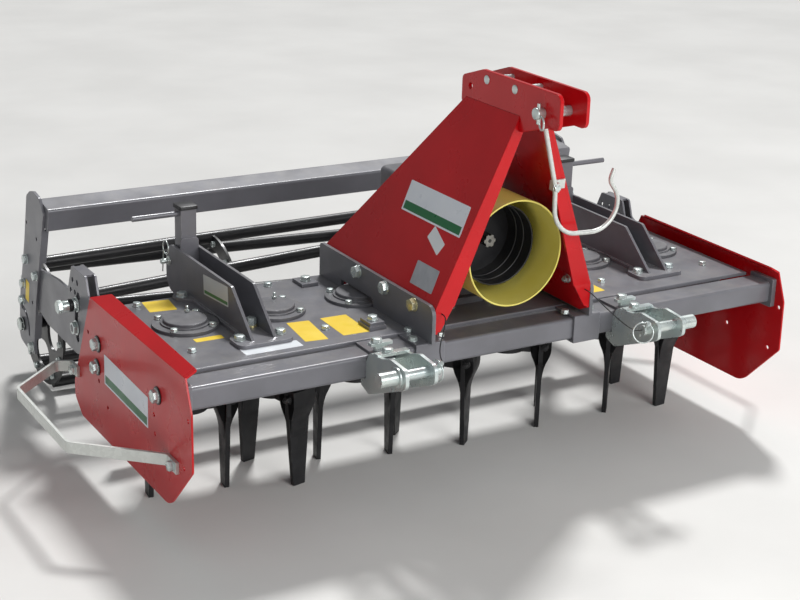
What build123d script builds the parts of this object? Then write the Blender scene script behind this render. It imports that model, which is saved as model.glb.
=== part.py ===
"""Mounted power harrow: seven vertical rotors under a gear trough, carried by a
three-point tower, with a caged roller behind.

Units are millimetres. X runs along the machine's width, -Y is the tractor side,
+Y the roller side and +Z up, with the ground at Z = 0 and the tower's centre at
X = 0. Everything is laid out with Y = 0 on the rotor line. The finished pieces
are then moved so that the origin is midway between the machine's front and rear.
"""

import os
from math import asin, atan2, cos, degrees, hypot, radians, sin, tan

from build123d import *

# Working width
ROTOR_COUNT = 7
ROTOR_SPACING = 250.0
SIDES = (("left", -1), ("right", 1))

# Running clearances
SHAFT_CLEARANCE = 0.05
FIXED_PIN_CLEARANCE = 0.2
SLIDE_CLEARANCE = 0.3

# Gear trough and its lid
TROUGH_OVERHANG = 118.0
TROUGH_BOTTOM = 300.0
TROUGH_HALF_WIDTH = 165.0
TROUGH_FLOOR_HALF_WIDTH = 135.0
TROUGH_CHAMFER_HEIGHT = 45.0
TROUGH_FLANGE_HALF_WIDTH = 205.0
TROUGH_FLANGE_THICKNESS = 8.0
END_PLATE_THICKNESS = 8.0
END_PLATE_HALF_WIDTH = 190.0
LID_TOP = 466.0
LID_THICKNESS = 10.0
LID_OVERHANG = 6.0
LID_FRONT = -290.0
LID_REAR = 213.0
LID_EDGE_RADIUS = 3.0

# Front beam: a rectangular tube with a flange at each end
BEAM_FRONT = -373.0
BEAM_DEPTH = 82.0
BEAM_HEIGHT = 60.0
BEAM_WALL = 5.0
BEAM_CORNER_RADIUS = 9.0
BEAM_FLANGE_MARGIN = 12.0
BEAM_FLANGE_THICKNESS = 14.0

# Rotors
HOUSING_RADIUS = 66.0
HOUSING_HEIGHT = 15.0
ROTOR_SHAFT_RADIUS = 22.0
HUB_TOP_GAP = 2.0
HOLDER_HEIGHT = 45.0
HOLDER_WIDTH = 62.0
HOLDER_DISC_RADIUS = 56.0
TINE_RADIUS = 102.0
TINE_THICKNESS = 13.0
TINE_TOP_WIDTH = 86.0
TINE_SHOULDER_HEIGHT = 212.0
TINE_NECK_WIDTH = 66.0
TINE_TIP_WIDTH = 38.0
TINE_CORNER_RADIUS = 9.0

# Rotor covers, as steps above the lid
COVER_FLANGE_RADIUS = 86.0
COVER_FLANGE_HEIGHT = 8.0
COVER_RING_RADIUS = 64.0
COVER_RING_HEIGHT = 12.0
COVER_CAP_RADIUS = 57.0
COVER_CAP_HEIGHT = 20.0
COVER_CLEARANCE = 4.0

# Power take-off
GUARD_ABOVE_LID = 60.0
STUB_RADIUS = 17.45
STUB_ROOT_RADIUS = 14.5
STUB_SPLINES = 6
STUB_SPLINE_WIDTH = 8.6
STUB_END = -261.0
STUB_SPLINE_LENGTH = 76.0
STUB_JOURNAL_RADIUS = 22.5
GEARBOX_HALF_WIDTH = 118.0
GEARBOX_FRONT = -150.0
GEARBOX_REAR = 135.0
GEARBOX_ABOVE_AXIS = 123.0
GEARBOX_CORNER_RADIUS = 28.0
GEARBOX_BASE_MARGIN = 22.0
GEARBOX_BASE_HEIGHT = 18.0
GEARBOX_BOSS_RADIUS = 72.0
GEARBOX_BOSS_LENGTH = 34.0
GUARD_RADIUS = 141.0
GUARD_WALL = 3.0
GUARD_FRONT = -381.0
LINING_RADIUS = 108.0
LINING_FRONT = -300.0
LINING_HOLE_CLEARANCE = 2.5

# Tower feet
FOOT_OUTER = 250.0
FOOT_THICKNESS = 10.0
FOOT_HEIGHT = 96.0
FOOT_FRONT = -393.0
FOOT_REAR = 215.0
FOOT_NOSE_RADIUS = 26.0
CLAMP_WIDTH = 84.0
CLAMP_THICKNESS = 8.0
PAD_OFFSET = 71.0
PAD_INSET = 76.0
PAD_WIDTH = 50.0
PAD_THICKNESS = 9.0

# Tower legs
LEG_THICKNESS = 8.0
LEG_BEND_BELOW_FOOT = 7.0
LEG_TOP_BELOW_PIN = 27.0
LEG_FRONT_BOTTOM = -390.0
LEG_FRONT_TOP = -429.0
LEG_REAR_BOTTOM = 203.0
LEG_REAR_TOP = -184.0
LEG_FLANGE_BOTTOM_WIDTH = 55.0
LEG_FLANGE_TOP_WIDTH = 30.0
LEG_FLANGE_TAIL = 62.0

# Mast
MAST_OUTER = 44.0
MAST_THICKNESS = 10.0
MAST_HEIGHT = 122.0
MAST_ABOVE_PIN = 56.0
MAST_FRONT = -592.0
MAST_REAR = -162.0
MAST_TUBE_RADIUS = 9.0

# Three-point hitch, category 2
LOWER_PIN_HEIGHT = 457.0
LOWER_PIN_Y = -528.0
LOWER_PIN_RADIUS = 13.95
LOWER_STUB_RADIUS = 18.25
LOWER_STUB_LENGTH = 54.0
LOWER_PIN_TAIL = 24.0
HITCH_HEIGHT = 610.0
TOP_PIN_Y = -524.0
TOP_PIN_RADIUS = 12.72
TOP_PIN_OVERHANG = 20.0
TOP_PIN_HEAD_RADIUS = 18.0
CLEVIS_OUTER = 427.0
CLEVIS_WIDTH = 91.0
CLEVIS_THICKNESS = 10.0
CLEVIS_NOSE = 38.0
SADDLE_THICKNESS = 7.0
SADDLE_WIDTH = 62.0
CLAMP_BAR_WIDTH = 20.0
CLAMP_BAR_THICKNESS = 8.0
CLAMP_BAR_LENGTH = 62.0
PACKING_HEIGHT = 14.0

# Side plates and their guard bars
SIDE_PLATE_THICKNESS = 5.0
SIDE_PLATE_TOP = 490.0
SIDE_PLATE_BOTTOM = 118.0
SIDE_PLATE_FRONT = -424.0
SIDE_PLATE_REAR = 385.0
SIDE_FLANGE_FRONT_WIDTH = 35.0
SIDE_FLANGE_REAR_WIDTH = 45.0
SIDE_FLANGE_CUT = 60.0
SIDE_FLANGE_ANGLE = 30.0
SIDE_HOLE_RADIUS = 6.0
GUARD_BAR_HEIGHT = 30.0
GUARD_BAR_THICKNESS = 8.0
GUARD_BAR_Z = 243.0
GUARD_BAR_BOW = 190.0

# Levelling board behind the rotors
BRACKET_OUTER = 655.0
BRACKET_WIDTH = 61.0
BRACKET_THICKNESS = 8.0
BRACKET_HEIGHT = 116.0
BRACKET_FRONT = -205.0
BRACKET_REAR = 341.0
BRACKET_BASE_THICKNESS = 10.0
BRACKET_BASE_MARGIN = 12.0
BRACKET_LUG_REACH = 46.0
BRACKET_LUG_LENGTH = 66.0
UPRIGHT_SIZE = 44.0
UPRIGHT_WALL = 4.0
UPRIGHT_Y = 284.0
UPRIGHT_TOP = 690.0
COLLAR_BOTTOM = 522.0
COLLAR_HEIGHT = 52.0
TAB_HEIGHT = 88.0
HANDLE_RADIUS = 7.5
HANDLE_LENGTH = 131.0
BOARD_INSET = 28.0
BOARD_THICKNESS = 8.0
BOARD_BOTTOM = 110.0
BOARD_HEIGHT = 125.0

# Roller frame
PIVOT_Y = 215.0
PIVOT_Z = 372.0
PIVOT_RADIUS = 15.0
CHEEK_THICKNESS = 6.0
CHEEK_TOP = 528.0
ARM_GAP = 6.0
ARM_THICKNESS = 8.0
ROLLER_PLATE_THICKNESS = 8.0
ROLLER_PLATE_FLANGE = 13.0
SIDE_GAP = 4.0
SLOT_RADIUS = 163.0
SLOT_CLEARANCE = 1.5
DEPTH_BOLT_RADIUS = 11.0
LOWER_BOLT_ANGLE = -5.0
UPPER_BOLT_ANGLE = 20.0
LOWER_BOLT_REACH = 26.0
UPPER_BOLT_REACH = 66.0
SLOT_SPARE_ANGLE = 10.0
DEPTH_HOLE_RADIUS = 8.0
CROSS_BAR_Y = 662.0
CROSS_BAR_Z = 598.0
CROSS_BAR_DEPTH = 85.0
CROSS_BAR_HEIGHT = 68.0
CROSS_BAR_WALL = 5.0
CROSS_BAR_TILT = 10.0
CROSS_BAR_CORNER = 8.0
CROSS_BAR_DRAIN_RADIUS = 5.0

# Roller
ROLLER_Y = 870.0
ROLLER_RADIUS = 205.0
ROLLER_BAR_RADIUS = 19.0
ROLLER_BAR_COUNT = 7
ROLLER_END_GAP = 51.0
ROLLER_TWIST = 24.0
ROLLER_START_ANGLE = -3.0
ROLLER_DISC_COUNT = 4
ROLLER_DISC_THICKNESS = 8.0
ROLLER_HUB_RADIUS = 58.0
ROLLER_RIM_WIDTH = 46.0
ROLLER_WINDOW_COUNT = 4
ROLLER_WEB_WIDTH = 30.0
ROLLER_AXLE_RADIUS = 20.0
BEARING_RADIUS = 44.0
BEARING_DEPTH = 12.0
PLATE_SLOT_RADIUS = 55.0
PLATE_SLOT_WIDTH = 15.0

# Hook that carries the drive shaft when it is off the tractor
HOOK_RADIUS = 6.0
HOOK_Y = -443.0
HOOK_CLIP_HEIGHT = 850.0
HOOK_CLIP_WIDTH = 44.0
HOOK_CLIP_THICKNESS = 6.0
HOOK_CLIP_HOLE = 5.0

# Pin lanyards
LANYARD_RADIUS = 1.5

# Worked out from the values above
ROTOR_X = [(i - (ROTOR_COUNT - 1) / 2) * ROTOR_SPACING for i in range(ROTOR_COUNT)]
TROUGH_HALF_LENGTH = ROTOR_X[-1] + TROUGH_OVERHANG
TROUGH_END = TROUGH_HALF_LENGTH + END_PLATE_THICKNESS
INNER_CHEEK_OUTER = TROUGH_END + CHEEK_THICKNESS
ARM_INNER = INNER_CHEEK_OUTER + ARM_GAP
ARM_OUTER = ARM_INNER + ARM_THICKNESS
OUTER_CHEEK_INNER = ARM_OUTER + ARM_GAP
OUTER_CHEEK_OUTER = OUTER_CHEEK_INNER + CHEEK_THICKNESS
ROLLER_PLATE_OUTER = ARM_OUTER + ROLLER_PLATE_THICKNESS
SIDE_PLATE_INNER = OUTER_CHEEK_OUTER + SIDE_GAP
SIDE_PLATE_OUTER = SIDE_PLATE_INNER + SIDE_PLATE_THICKNESS
LID_BOTTOM = LID_TOP - LID_THICKNESS
LID_HALF_LENGTH = TROUGH_END + LID_OVERHANG
BEAM_HALF_LENGTH = SIDE_PLATE_INNER - BEAM_FLANGE_THICKNESS
BEAM_REAR = BEAM_FRONT + BEAM_DEPTH
BEAM_TOP = LID_BOTTOM
BEAM_BOTTOM = BEAM_TOP - BEAM_HEIGHT
SADDLE_REAR = LID_FRONT - 2
HOUSING_BOTTOM = TROUGH_BOTTOM - HOUSING_HEIGHT
HOLDER_TOP = HOUSING_BOTTOM - HUB_TOP_GAP
HOLDER_BOTTOM = HOLDER_TOP - HOLDER_HEIGHT
COVER_ARCH_RADIUS = COVER_FLANGE_RADIUS + COVER_CLEARANCE
COVER_ARCH_HEIGHT = COVER_CAP_HEIGHT + COVER_CLEARANCE
SHAFT_AXIS_HEIGHT = LID_TOP + GUARD_ABOVE_LID + GUARD_RADIUS
GEARBOX_TOP = SHAFT_AXIS_HEIGHT + GEARBOX_ABOVE_AXIS
BOSS_FRONT = GEARBOX_FRONT - GEARBOX_BOSS_LENGTH
FOOT_INNER = FOOT_OUTER - FOOT_THICKNESS
FOOT_TOP = LID_TOP + FOOT_HEIGHT
TOP_PIN_Z = LOWER_PIN_HEIGHT + HITCH_HEIGHT
LEG_BEND_HEIGHT = FOOT_TOP - LEG_BEND_BELOW_FOOT
LEG_TOP_HEIGHT = TOP_PIN_Z - LEG_TOP_BELOW_PIN
LEG_RISE = LEG_TOP_HEIGHT - LEG_BEND_HEIGHT
MAST_INNER = MAST_OUTER - MAST_THICKNESS
MAST_TOP = TOP_PIN_Z + MAST_ABOVE_PIN
MAST_BOTTOM = MAST_TOP - MAST_HEIGHT
CLEVIS_INNER = CLEVIS_OUTER - CLEVIS_WIDTH
LOWER_PIN_END = CLEVIS_INNER - LOWER_PIN_TAIL
BRACKET_INNER = BRACKET_OUTER - BRACKET_WIDTH
BRACKET_TOP = LID_TOP + BRACKET_HEIGHT
BRACKET_MIDDLE = (BRACKET_INNER + BRACKET_OUTER) / 2
BOARD_HALF_LENGTH = TROUGH_HALF_LENGTH - BOARD_INSET
ROLLER_HALF_LENGTH = ARM_OUTER - ROLLER_END_GAP
ORIGIN_Y = (MAST_FRONT + ROLLER_Y + ROLLER_RADIUS) / 2

os.makedirs("parts", exist_ok=True)


def save(builder, label):
    """Moves a finished piece to the machine's own origin, labels it and writes its STEP file."""
    builder.part.locate(Location((0, -ORIGIN_Y, 0)))
    builder.part.label = label
    export_step(builder.part, f"parts/{label}.step")


def outline(points):
    """The edges of a closed outline whose corners are (across, up, corner radius)."""
    with BuildLine() as border:
        FilletPolyline(*[(a, b) for a, b, r in points], radius=[r for a, b, r in points], close=True)
    return border.edges()


def side_plane(side, x):
    """The upright plane at that distance from the centre, seen along X."""
    return Plane.YZ.offset(side * x)


# Gear trough, with an end plate at each end and a bearing ring under each rotor
FLANGE_BOTTOM = LID_BOTTOM - TROUGH_FLANGE_THICKNESS
CHAMFER_TOP = TROUGH_BOTTOM + TROUGH_CHAMFER_HEIGHT
with BuildPart() as trough:
    with BuildSketch(Plane.YZ.offset(-TROUGH_HALF_LENGTH)):
        make_face(outline([
            (-TROUGH_FLANGE_HALF_WIDTH, LID_BOTTOM, 0),
            (-TROUGH_FLANGE_HALF_WIDTH, FLANGE_BOTTOM, 0),
            (-TROUGH_HALF_WIDTH, FLANGE_BOTTOM, 0),
            (-TROUGH_HALF_WIDTH, CHAMFER_TOP, 0),
            (-TROUGH_FLOOR_HALF_WIDTH, TROUGH_BOTTOM, 0),
            (TROUGH_FLOOR_HALF_WIDTH, TROUGH_BOTTOM, 0),
            (TROUGH_HALF_WIDTH, CHAMFER_TOP, 0),
            (TROUGH_HALF_WIDTH, FLANGE_BOTTOM, 0),
            (TROUGH_FLANGE_HALF_WIDTH, FLANGE_BOTTOM, 0),
            (TROUGH_FLANGE_HALF_WIDTH, LID_BOTTOM, 0),
        ]))
    extrude(amount=2 * TROUGH_HALF_LENGTH)
    for side_name, side in SIDES:
        with BuildSketch(side_plane(side, TROUGH_HALF_LENGTH)):
            make_face(outline([
                (-END_PLATE_HALF_WIDTH, LID_BOTTOM, 0),
                (-END_PLATE_HALF_WIDTH, CHAMFER_TOP, 0),
                (-TROUGH_FLOOR_HALF_WIDTH, TROUGH_BOTTOM, 0),
                (TROUGH_FLOOR_HALF_WIDTH, TROUGH_BOTTOM, 0),
                (END_PLATE_HALF_WIDTH, CHAMFER_TOP, 0),
                (END_PLATE_HALF_WIDTH, LID_BOTTOM, 0),
            ]))
        extrude(amount=side * END_PLATE_THICKNESS)
    with BuildSketch(Plane.XY.offset(HOUSING_BOTTOM)):
        with Locations(*[(x, 0) for x in ROTOR_X]):
            Circle(HOUSING_RADIUS)
    extrude(amount=HOUSING_HEIGHT)
    with BuildSketch(Plane.XY.offset(HOUSING_BOTTOM)):
        with Locations(*[(x, 0) for x in ROTOR_X]):
            Circle(ROTOR_SHAFT_RADIUS + SHAFT_CLEARANCE)
    extrude(amount=2 * HOUSING_HEIGHT, mode=Mode.SUBTRACT)
save(trough, "trough")

# Lid, with its long top edges rounded
with BuildPart() as lid:
    with BuildSketch(Plane.XY.offset(LID_BOTTOM)):
        with Locations((0, (LID_FRONT + LID_REAR) / 2)):
            Rectangle(2 * LID_HALF_LENGTH, LID_REAR - LID_FRONT)
    extrude(amount=LID_THICKNESS)
    fillet(lid.faces().sort_by(Axis.Z)[-1].edges(), radius=LID_EDGE_RADIUS)
save(lid, "lid")

# Rotor covers: the middle rotor is under the gearbox
COVER_X = [x for x in ROTOR_X if abs(x) > GEARBOX_HALF_WIDTH]
with BuildPart() as rotor_covers:
    for radius, height in (
        (COVER_FLANGE_RADIUS, COVER_FLANGE_HEIGHT),
        (COVER_RING_RADIUS, COVER_RING_HEIGHT),
        (COVER_CAP_RADIUS, COVER_CAP_HEIGHT),
    ):
        with BuildSketch(Plane.XY.offset(LID_TOP)):
            with Locations(*[(x, 0) for x in COVER_X]):
                Circle(radius)
        extrude(amount=height)
    chamfer(rotor_covers.faces().group_by(Axis.Z)[-1].edges(), length=2)
save(rotor_covers, "rotor_covers")

# Front beam
BEAM_MIDDLE_Y = (BEAM_FRONT + BEAM_REAR) / 2
BEAM_MIDDLE_Z = (BEAM_TOP + BEAM_BOTTOM) / 2
with BuildPart() as front_beam:
    with BuildSketch(Plane.YZ.offset(-BEAM_HALF_LENGTH)):
        with Locations((BEAM_MIDDLE_Y, BEAM_MIDDLE_Z)):
            RectangleRounded(BEAM_DEPTH, BEAM_HEIGHT, BEAM_CORNER_RADIUS)
            RectangleRounded(
                BEAM_DEPTH - 2 * BEAM_WALL,
                BEAM_HEIGHT - 2 * BEAM_WALL,
                BEAM_CORNER_RADIUS - BEAM_WALL,
                mode=Mode.SUBTRACT,
            )
    extrude(amount=2 * BEAM_HALF_LENGTH)
    for side_name, side in SIDES:
        with BuildSketch(side_plane(side, BEAM_HALF_LENGTH)):
            with Locations((BEAM_MIDDLE_Y - BEAM_FLANGE_MARGIN / 2, BEAM_MIDDLE_Z)):
                RectangleRounded(BEAM_DEPTH + BEAM_FLANGE_MARGIN, BEAM_HEIGHT + 2 * BEAM_FLANGE_MARGIN, 5)
        extrude(amount=side * BEAM_FLANGE_THICKNESS)
save(front_beam, "front_beam")

# Gearbox: base flange, block and the bearing boss that carries the input shaft
with BuildPart() as gearbox:
    for margin, height in ((GEARBOX_BASE_MARGIN, GEARBOX_BASE_HEIGHT), (0, GEARBOX_TOP - LID_TOP)):
        with BuildSketch(Plane.XY.offset(LID_TOP)):
            with Locations((0, (GEARBOX_FRONT + GEARBOX_REAR) / 2)):
                RectangleRounded(
                    2 * (GEARBOX_HALF_WIDTH + margin),
                    GEARBOX_REAR - GEARBOX_FRONT + 2 * margin,
                    GEARBOX_CORNER_RADIUS,
                )
        extrude(amount=height)
    fillet(gearbox.faces().sort_by(Axis.Z)[-1].edges(), radius=14)
    with BuildSketch(Plane.XZ.offset(-GEARBOX_FRONT)):
        with Locations((0, SHAFT_AXIS_HEIGHT)):
            Circle(GEARBOX_BOSS_RADIUS)
    extrude(amount=GEARBOX_BOSS_LENGTH)
    with BuildSketch(Plane.XZ.offset(-BOSS_FRONT)):
        with Locations((0, SHAFT_AXIS_HEIGHT)):
            Circle(STUB_JOURNAL_RADIUS + SHAFT_CLEARANCE)
    extrude(amount=-2 * GEARBOX_BOSS_LENGTH, mode=Mode.SUBTRACT)
save(gearbox, "gearbox")

# Input shaft: a splined stub with a plain journal
STUB_SHOULDER = STUB_END + STUB_SPLINE_LENGTH
with BuildPart() as input_shaft:
    with BuildSketch(Plane.XZ.offset(-STUB_END)):
        with Locations((0, SHAFT_AXIS_HEIGHT)):
            Circle(STUB_ROOT_RADIUS)
            with PolarLocations(0, STUB_SPLINES):
                Rectangle(3 * STUB_RADIUS, STUB_SPLINE_WIDTH)
            Circle(STUB_RADIUS, mode=Mode.INTERSECT)
    extrude(amount=-STUB_SPLINE_LENGTH)
    with BuildSketch(Plane.XZ.offset(-STUB_SHOULDER)):
        with Locations((0, SHAFT_AXIS_HEIGHT)):
            Circle(STUB_JOURNAL_RADIUS)
    extrude(amount=-(BOSS_FRONT - STUB_SHOULDER + 1.5 * GEARBOX_BOSS_LENGTH))
save(input_shaft, "input_shaft")

# Guard round the shaft: an outer cylinder with a back plate, and a dark lining
with BuildPart() as shaft_guard:
    with BuildSketch(Plane.XZ.offset(-GUARD_FRONT)):
        with Locations((0, SHAFT_AXIS_HEIGHT)):
            Circle(GUARD_RADIUS)
            Circle(GUARD_RADIUS - GUARD_WALL, mode=Mode.SUBTRACT)
    extrude(amount=-(BOSS_FRONT - GUARD_FRONT))
    with BuildSketch(Plane.XZ.offset(-BOSS_FRONT)):
        with Locations((0, SHAFT_AXIS_HEIGHT)):
            Circle(GUARD_RADIUS)
            Circle(GEARBOX_BOSS_RADIUS, mode=Mode.SUBTRACT)
    extrude(amount=-GUARD_WALL)
save(shaft_guard, "shaft_guard")

with BuildPart() as guard_lining:
    with BuildSketch(Plane.XZ.offset(-LINING_FRONT)):
        with Locations((0, SHAFT_AXIS_HEIGHT)):
            Circle(LINING_RADIUS)
            Circle(LINING_RADIUS - GUARD_WALL, mode=Mode.SUBTRACT)
    extrude(amount=-(BOSS_FRONT - LINING_FRONT))
    with BuildSketch(Plane.XZ.offset(-BOSS_FRONT)):
        with Locations((0, SHAFT_AXIS_HEIGHT)):
            Circle(LINING_RADIUS)
            Circle(STUB_JOURNAL_RADIUS + LINING_HOLE_CLEARANCE, mode=Mode.SUBTRACT)
    extrude(amount=GUARD_WALL)
save(guard_lining, "guard_lining")

# Rotors: a holder with two hanging tines. The tine's outline, across the blade:
# (across, height, corner radius)
TINE_EDGE = TINE_TOP_WIDTH / 2
TINE_LEAN = (TINE_NECK_WIDTH - TINE_TIP_WIDTH) / 2
TINE_OUTLINE = (
    (-TINE_EDGE, HOLDER_TOP, TINE_CORNER_RADIUS),
    (-TINE_EDGE, TINE_SHOULDER_HEIGHT, TINE_CORNER_RADIUS),
    (-TINE_NECK_WIDTH / 2 - 3, TINE_SHOULDER_HEIGHT - 16, TINE_CORNER_RADIUS),
    (-TINE_NECK_WIDTH / 2 + TINE_LEAN - 5, 0, 2),
    (-TINE_NECK_WIDTH / 2 + TINE_LEAN - 5 + TINE_TIP_WIDTH, 0, 2),
    (TINE_EDGE - 8, TINE_SHOULDER_HEIGHT, 20),
    (TINE_EDGE - 4, HOLDER_TOP, TINE_CORNER_RADIUS),
)
# Standing angle of each rotor's tine pair, in degrees from +X
ROTOR_ANGLES = (173.0, 103.0, 166.0, 131.0, 146.0, 138.0, 97.0)

for number, rotor_x in enumerate(ROTOR_X, 1):
    angle = ROTOR_ANGLES[(number - 1) % len(ROTOR_ANGLES)]
    hand = 1 if number % 2 else -1
    with BuildPart() as rotor:
        turned = Plane((rotor_x, 0, 0), x_dir=(cos(radians(angle)), sin(radians(angle)), 0), z_dir=(0, 0, 1))
        with BuildSketch(turned.offset(HOLDER_BOTTOM)):
            Rectangle(2 * TINE_RADIUS - TINE_THICKNESS, HOLDER_WIDTH)
            Circle(HOLDER_DISC_RADIUS)
        extrude(amount=HOLDER_HEIGHT)
        with BuildSketch(turned.offset(HOLDER_TOP)):
            Circle(ROTOR_SHAFT_RADIUS)
        extrude(amount=HUB_TOP_GAP + HOUSING_HEIGHT)
        for half_turn in (0.0, 180.0):
            out = radians(angle + half_turn)
            face = TINE_RADIUS - TINE_THICKNESS / 2
            blade_plane = Plane(
                (rotor_x + face * cos(out), face * sin(out), 0),
                x_dir=(-sin(out), cos(out), 0),
                z_dir=(cos(out), sin(out), 0),
            )
            with BuildSketch(blade_plane):
                make_face(outline([(hand * across, z, r) for across, z, r in TINE_OUTLINE]))
            extrude(amount=TINE_THICKNESS)
    save(rotor, f"rotor_{number}")

# Tower
leg_run = FOOT_INNER - MAST_OUTER
leg_lean = atan2(leg_run, LEG_RISE)
leg_length = hypot(leg_run, LEG_RISE)
leg_foot = LID_TOP + CLAMP_THICKNESS
flange_lean = LEG_FRONT_BOTTOM - LEG_FRONT_TOP
flange_rise = hypot(LEG_RISE, flange_lean)
flange_plane = Plane(
    (0, LEG_FRONT_BOTTOM, LEG_BEND_HEIGHT),
    x_dir=(1, 0, 0),
    z_dir=(0, -LEG_RISE, -flange_lean),
)

for side_name, side in SIDES:
    with BuildPart() as tower_leg:
        # upright foot behind the foot bracket
        with BuildSketch(side_plane(side, FOOT_INNER)):
            make_face(outline([
                (LEG_FRONT_BOTTOM, LEG_BEND_HEIGHT, 0),
                (LEG_FRONT_BOTTOM, leg_foot + 14, 0),
                (LEG_FRONT_BOTTOM + 30, leg_foot, 0),
                (LEG_REAR_BOTTOM, leg_foot, 0),
                (LEG_REAR_BOTTOM, LEG_BEND_HEIGHT, 0),
            ]))
        extrude(amount=-side * LEG_THICKNESS)
        # leaning side
        lean_plane = Plane(
            (side * FOOT_INNER, 0, LEG_BEND_HEIGHT),
            x_dir=(0, 1, 0),
            z_dir=(cos(leg_lean), 0, side * sin(leg_lean)),
        )
        with BuildSketch(lean_plane):
            make_face(outline([
                (LEG_FRONT_BOTTOM, 0, 0),
                (LEG_REAR_BOTTOM, 0, 0),
                (LEG_REAR_TOP, leg_length, 0),
                (LEG_FRONT_TOP, leg_length, 0),
            ]))
        extrude(amount=-side * LEG_THICKNESS)
        # front flange, narrower towards the top
        with BuildSketch(flange_plane):
            make_face(outline([
                (side * FOOT_INNER, 0, 0),
                (side * MAST_OUTER, flange_rise, 0),
                (side * (MAST_OUTER - LEG_FLANGE_TOP_WIDTH), flange_rise, 0),
                (side * (FOOT_INNER - LEG_FLANGE_BOTTOM_WIDTH), 0, 0),
            ]))
        extrude(amount=-LEG_THICKNESS)
        # pointed tail of the flange, in front of the foot
        with BuildSketch(Plane.XZ.offset(-LEG_FRONT_BOTTOM)):
            make_face(outline([
                (side * FOOT_INNER, LEG_BEND_HEIGHT, 0),
                (side * (FOOT_INNER - LEG_THICKNESS / 2), LEG_BEND_HEIGHT + LEG_THICKNESS / 2, 0),
                (side * (FOOT_INNER - LEG_FLANGE_BOTTOM_WIDTH), LEG_BEND_HEIGHT + LEG_THICKNESS / 2, 0),
                (side * (FOOT_INNER - LEG_THICKNESS - 8), LEG_BEND_HEIGHT - LEG_FLANGE_TAIL, 6),
                (side * FOOT_INNER, LEG_BEND_HEIGHT - LEG_FLANGE_TAIL, 0),
            ]))
        extrude(amount=-LEG_THICKNESS)
        # the mast plate's place
        with BuildSketch(Plane.XY.offset(MAST_BOTTOM)):
            Rectangle(2 * MAST_OUTER, 4 * FOOT_INNER)
        extrude(amount=MAST_HEIGHT, mode=Mode.SUBTRACT)
        # arch over the rotor cover
        with BuildSketch(Plane.XY.offset(LID_TOP)):
            with Locations(*[(x, 0) for x in COVER_X]):
                Circle(COVER_ARCH_RADIUS)
        extrude(amount=COVER_ARCH_HEIGHT, mode=Mode.SUBTRACT)
    save(tower_leg, f"tower_leg_{side_name}")

    with BuildPart() as mast_plate:
        with BuildSketch(side_plane(side, MAST_OUTER)):
            make_face(outline([
                (LEG_FRONT_TOP - 9, MAST_BOTTOM, 0),
                (LEG_REAR_TOP + 4, MAST_BOTTOM, 0),
                (MAST_REAR, MAST_BOTTOM + 28, 10),
                (MAST_REAR, MAST_TOP - 31, 14),
                (MAST_REAR - 95, MAST_TOP, 24),
                (MAST_FRONT, MAST_TOP, 20),
                (MAST_FRONT, MAST_BOTTOM + 33, 18),
                (MAST_FRONT + 47, MAST_BOTTOM + 33, 10),
            ]))
            with Locations((TOP_PIN_Y, TOP_PIN_Z)):
                Circle(TOP_PIN_RADIUS + FIXED_PIN_CLEARANCE, mode=Mode.SUBTRACT)
            with Locations((MAST_REAR - 41, MAST_TOP - 53)):
                Circle(MAST_TUBE_RADIUS, mode=Mode.SUBTRACT)
        extrude(amount=-side * MAST_THICKNESS)
        outside = mast_plate.faces().sort_by(Axis.X)[0 if side < 0 else -1]
        chamfer(outside.outer_wire().edges(), length=1.2)
    save(mast_plate, f"mast_plate_{side_name}")

    with BuildPart() as tower_foot:
        with BuildSketch(side_plane(side, FOOT_OUTER)):
            make_face(outline([
                (FOOT_FRONT, BEAM_TOP + CLAMP_THICKNESS, 0),
                (FOOT_FRONT, FOOT_TOP, FOOT_NOSE_RADIUS),
                (FOOT_REAR, FOOT_TOP, 12),
                (FOOT_REAR, LID_TOP, 0),
                (SADDLE_REAR, LID_TOP, 0),
                (SADDLE_REAR, BEAM_TOP, 0),
                (BEAM_FRONT, BEAM_TOP, 0),
                (BEAM_FRONT, BEAM_TOP + CLAMP_THICKNESS, 0),
            ]))
        extrude(amount=-side * FOOT_THICKNESS)
        # clamp over the front beam
        with BuildSketch(side_plane(side, FOOT_OUTER - FOOT_THICKNESS / 2 - CLAMP_WIDTH / 2)):
            make_face(outline([
                (BEAM_FRONT, BEAM_BOTTOM - CLAMP_THICKNESS, 0),
                (BEAM_FRONT, BEAM_TOP, 0),
                (SADDLE_REAR, BEAM_TOP, 0),
                (SADDLE_REAR, BEAM_TOP + CLAMP_THICKNESS, 0),
                (BEAM_FRONT - CLAMP_THICKNESS, BEAM_TOP + CLAMP_THICKNESS, 4),
                (BEAM_FRONT - CLAMP_THICKNESS, BEAM_BOTTOM - CLAMP_THICKNESS, 0),
            ]))
        extrude(amount=side * CLAMP_WIDTH)
        with BuildSketch(Plane.XY.offset(BEAM_BOTTOM - CLAMP_THICKNESS)):
            with Locations((side * (FOOT_OUTER - FOOT_THICKNESS / 2), BEAM_MIDDLE_Y)):
                Rectangle(CLAMP_WIDTH, BEAM_DEPTH)
        extrude(amount=CLAMP_THICKNESS)
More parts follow.
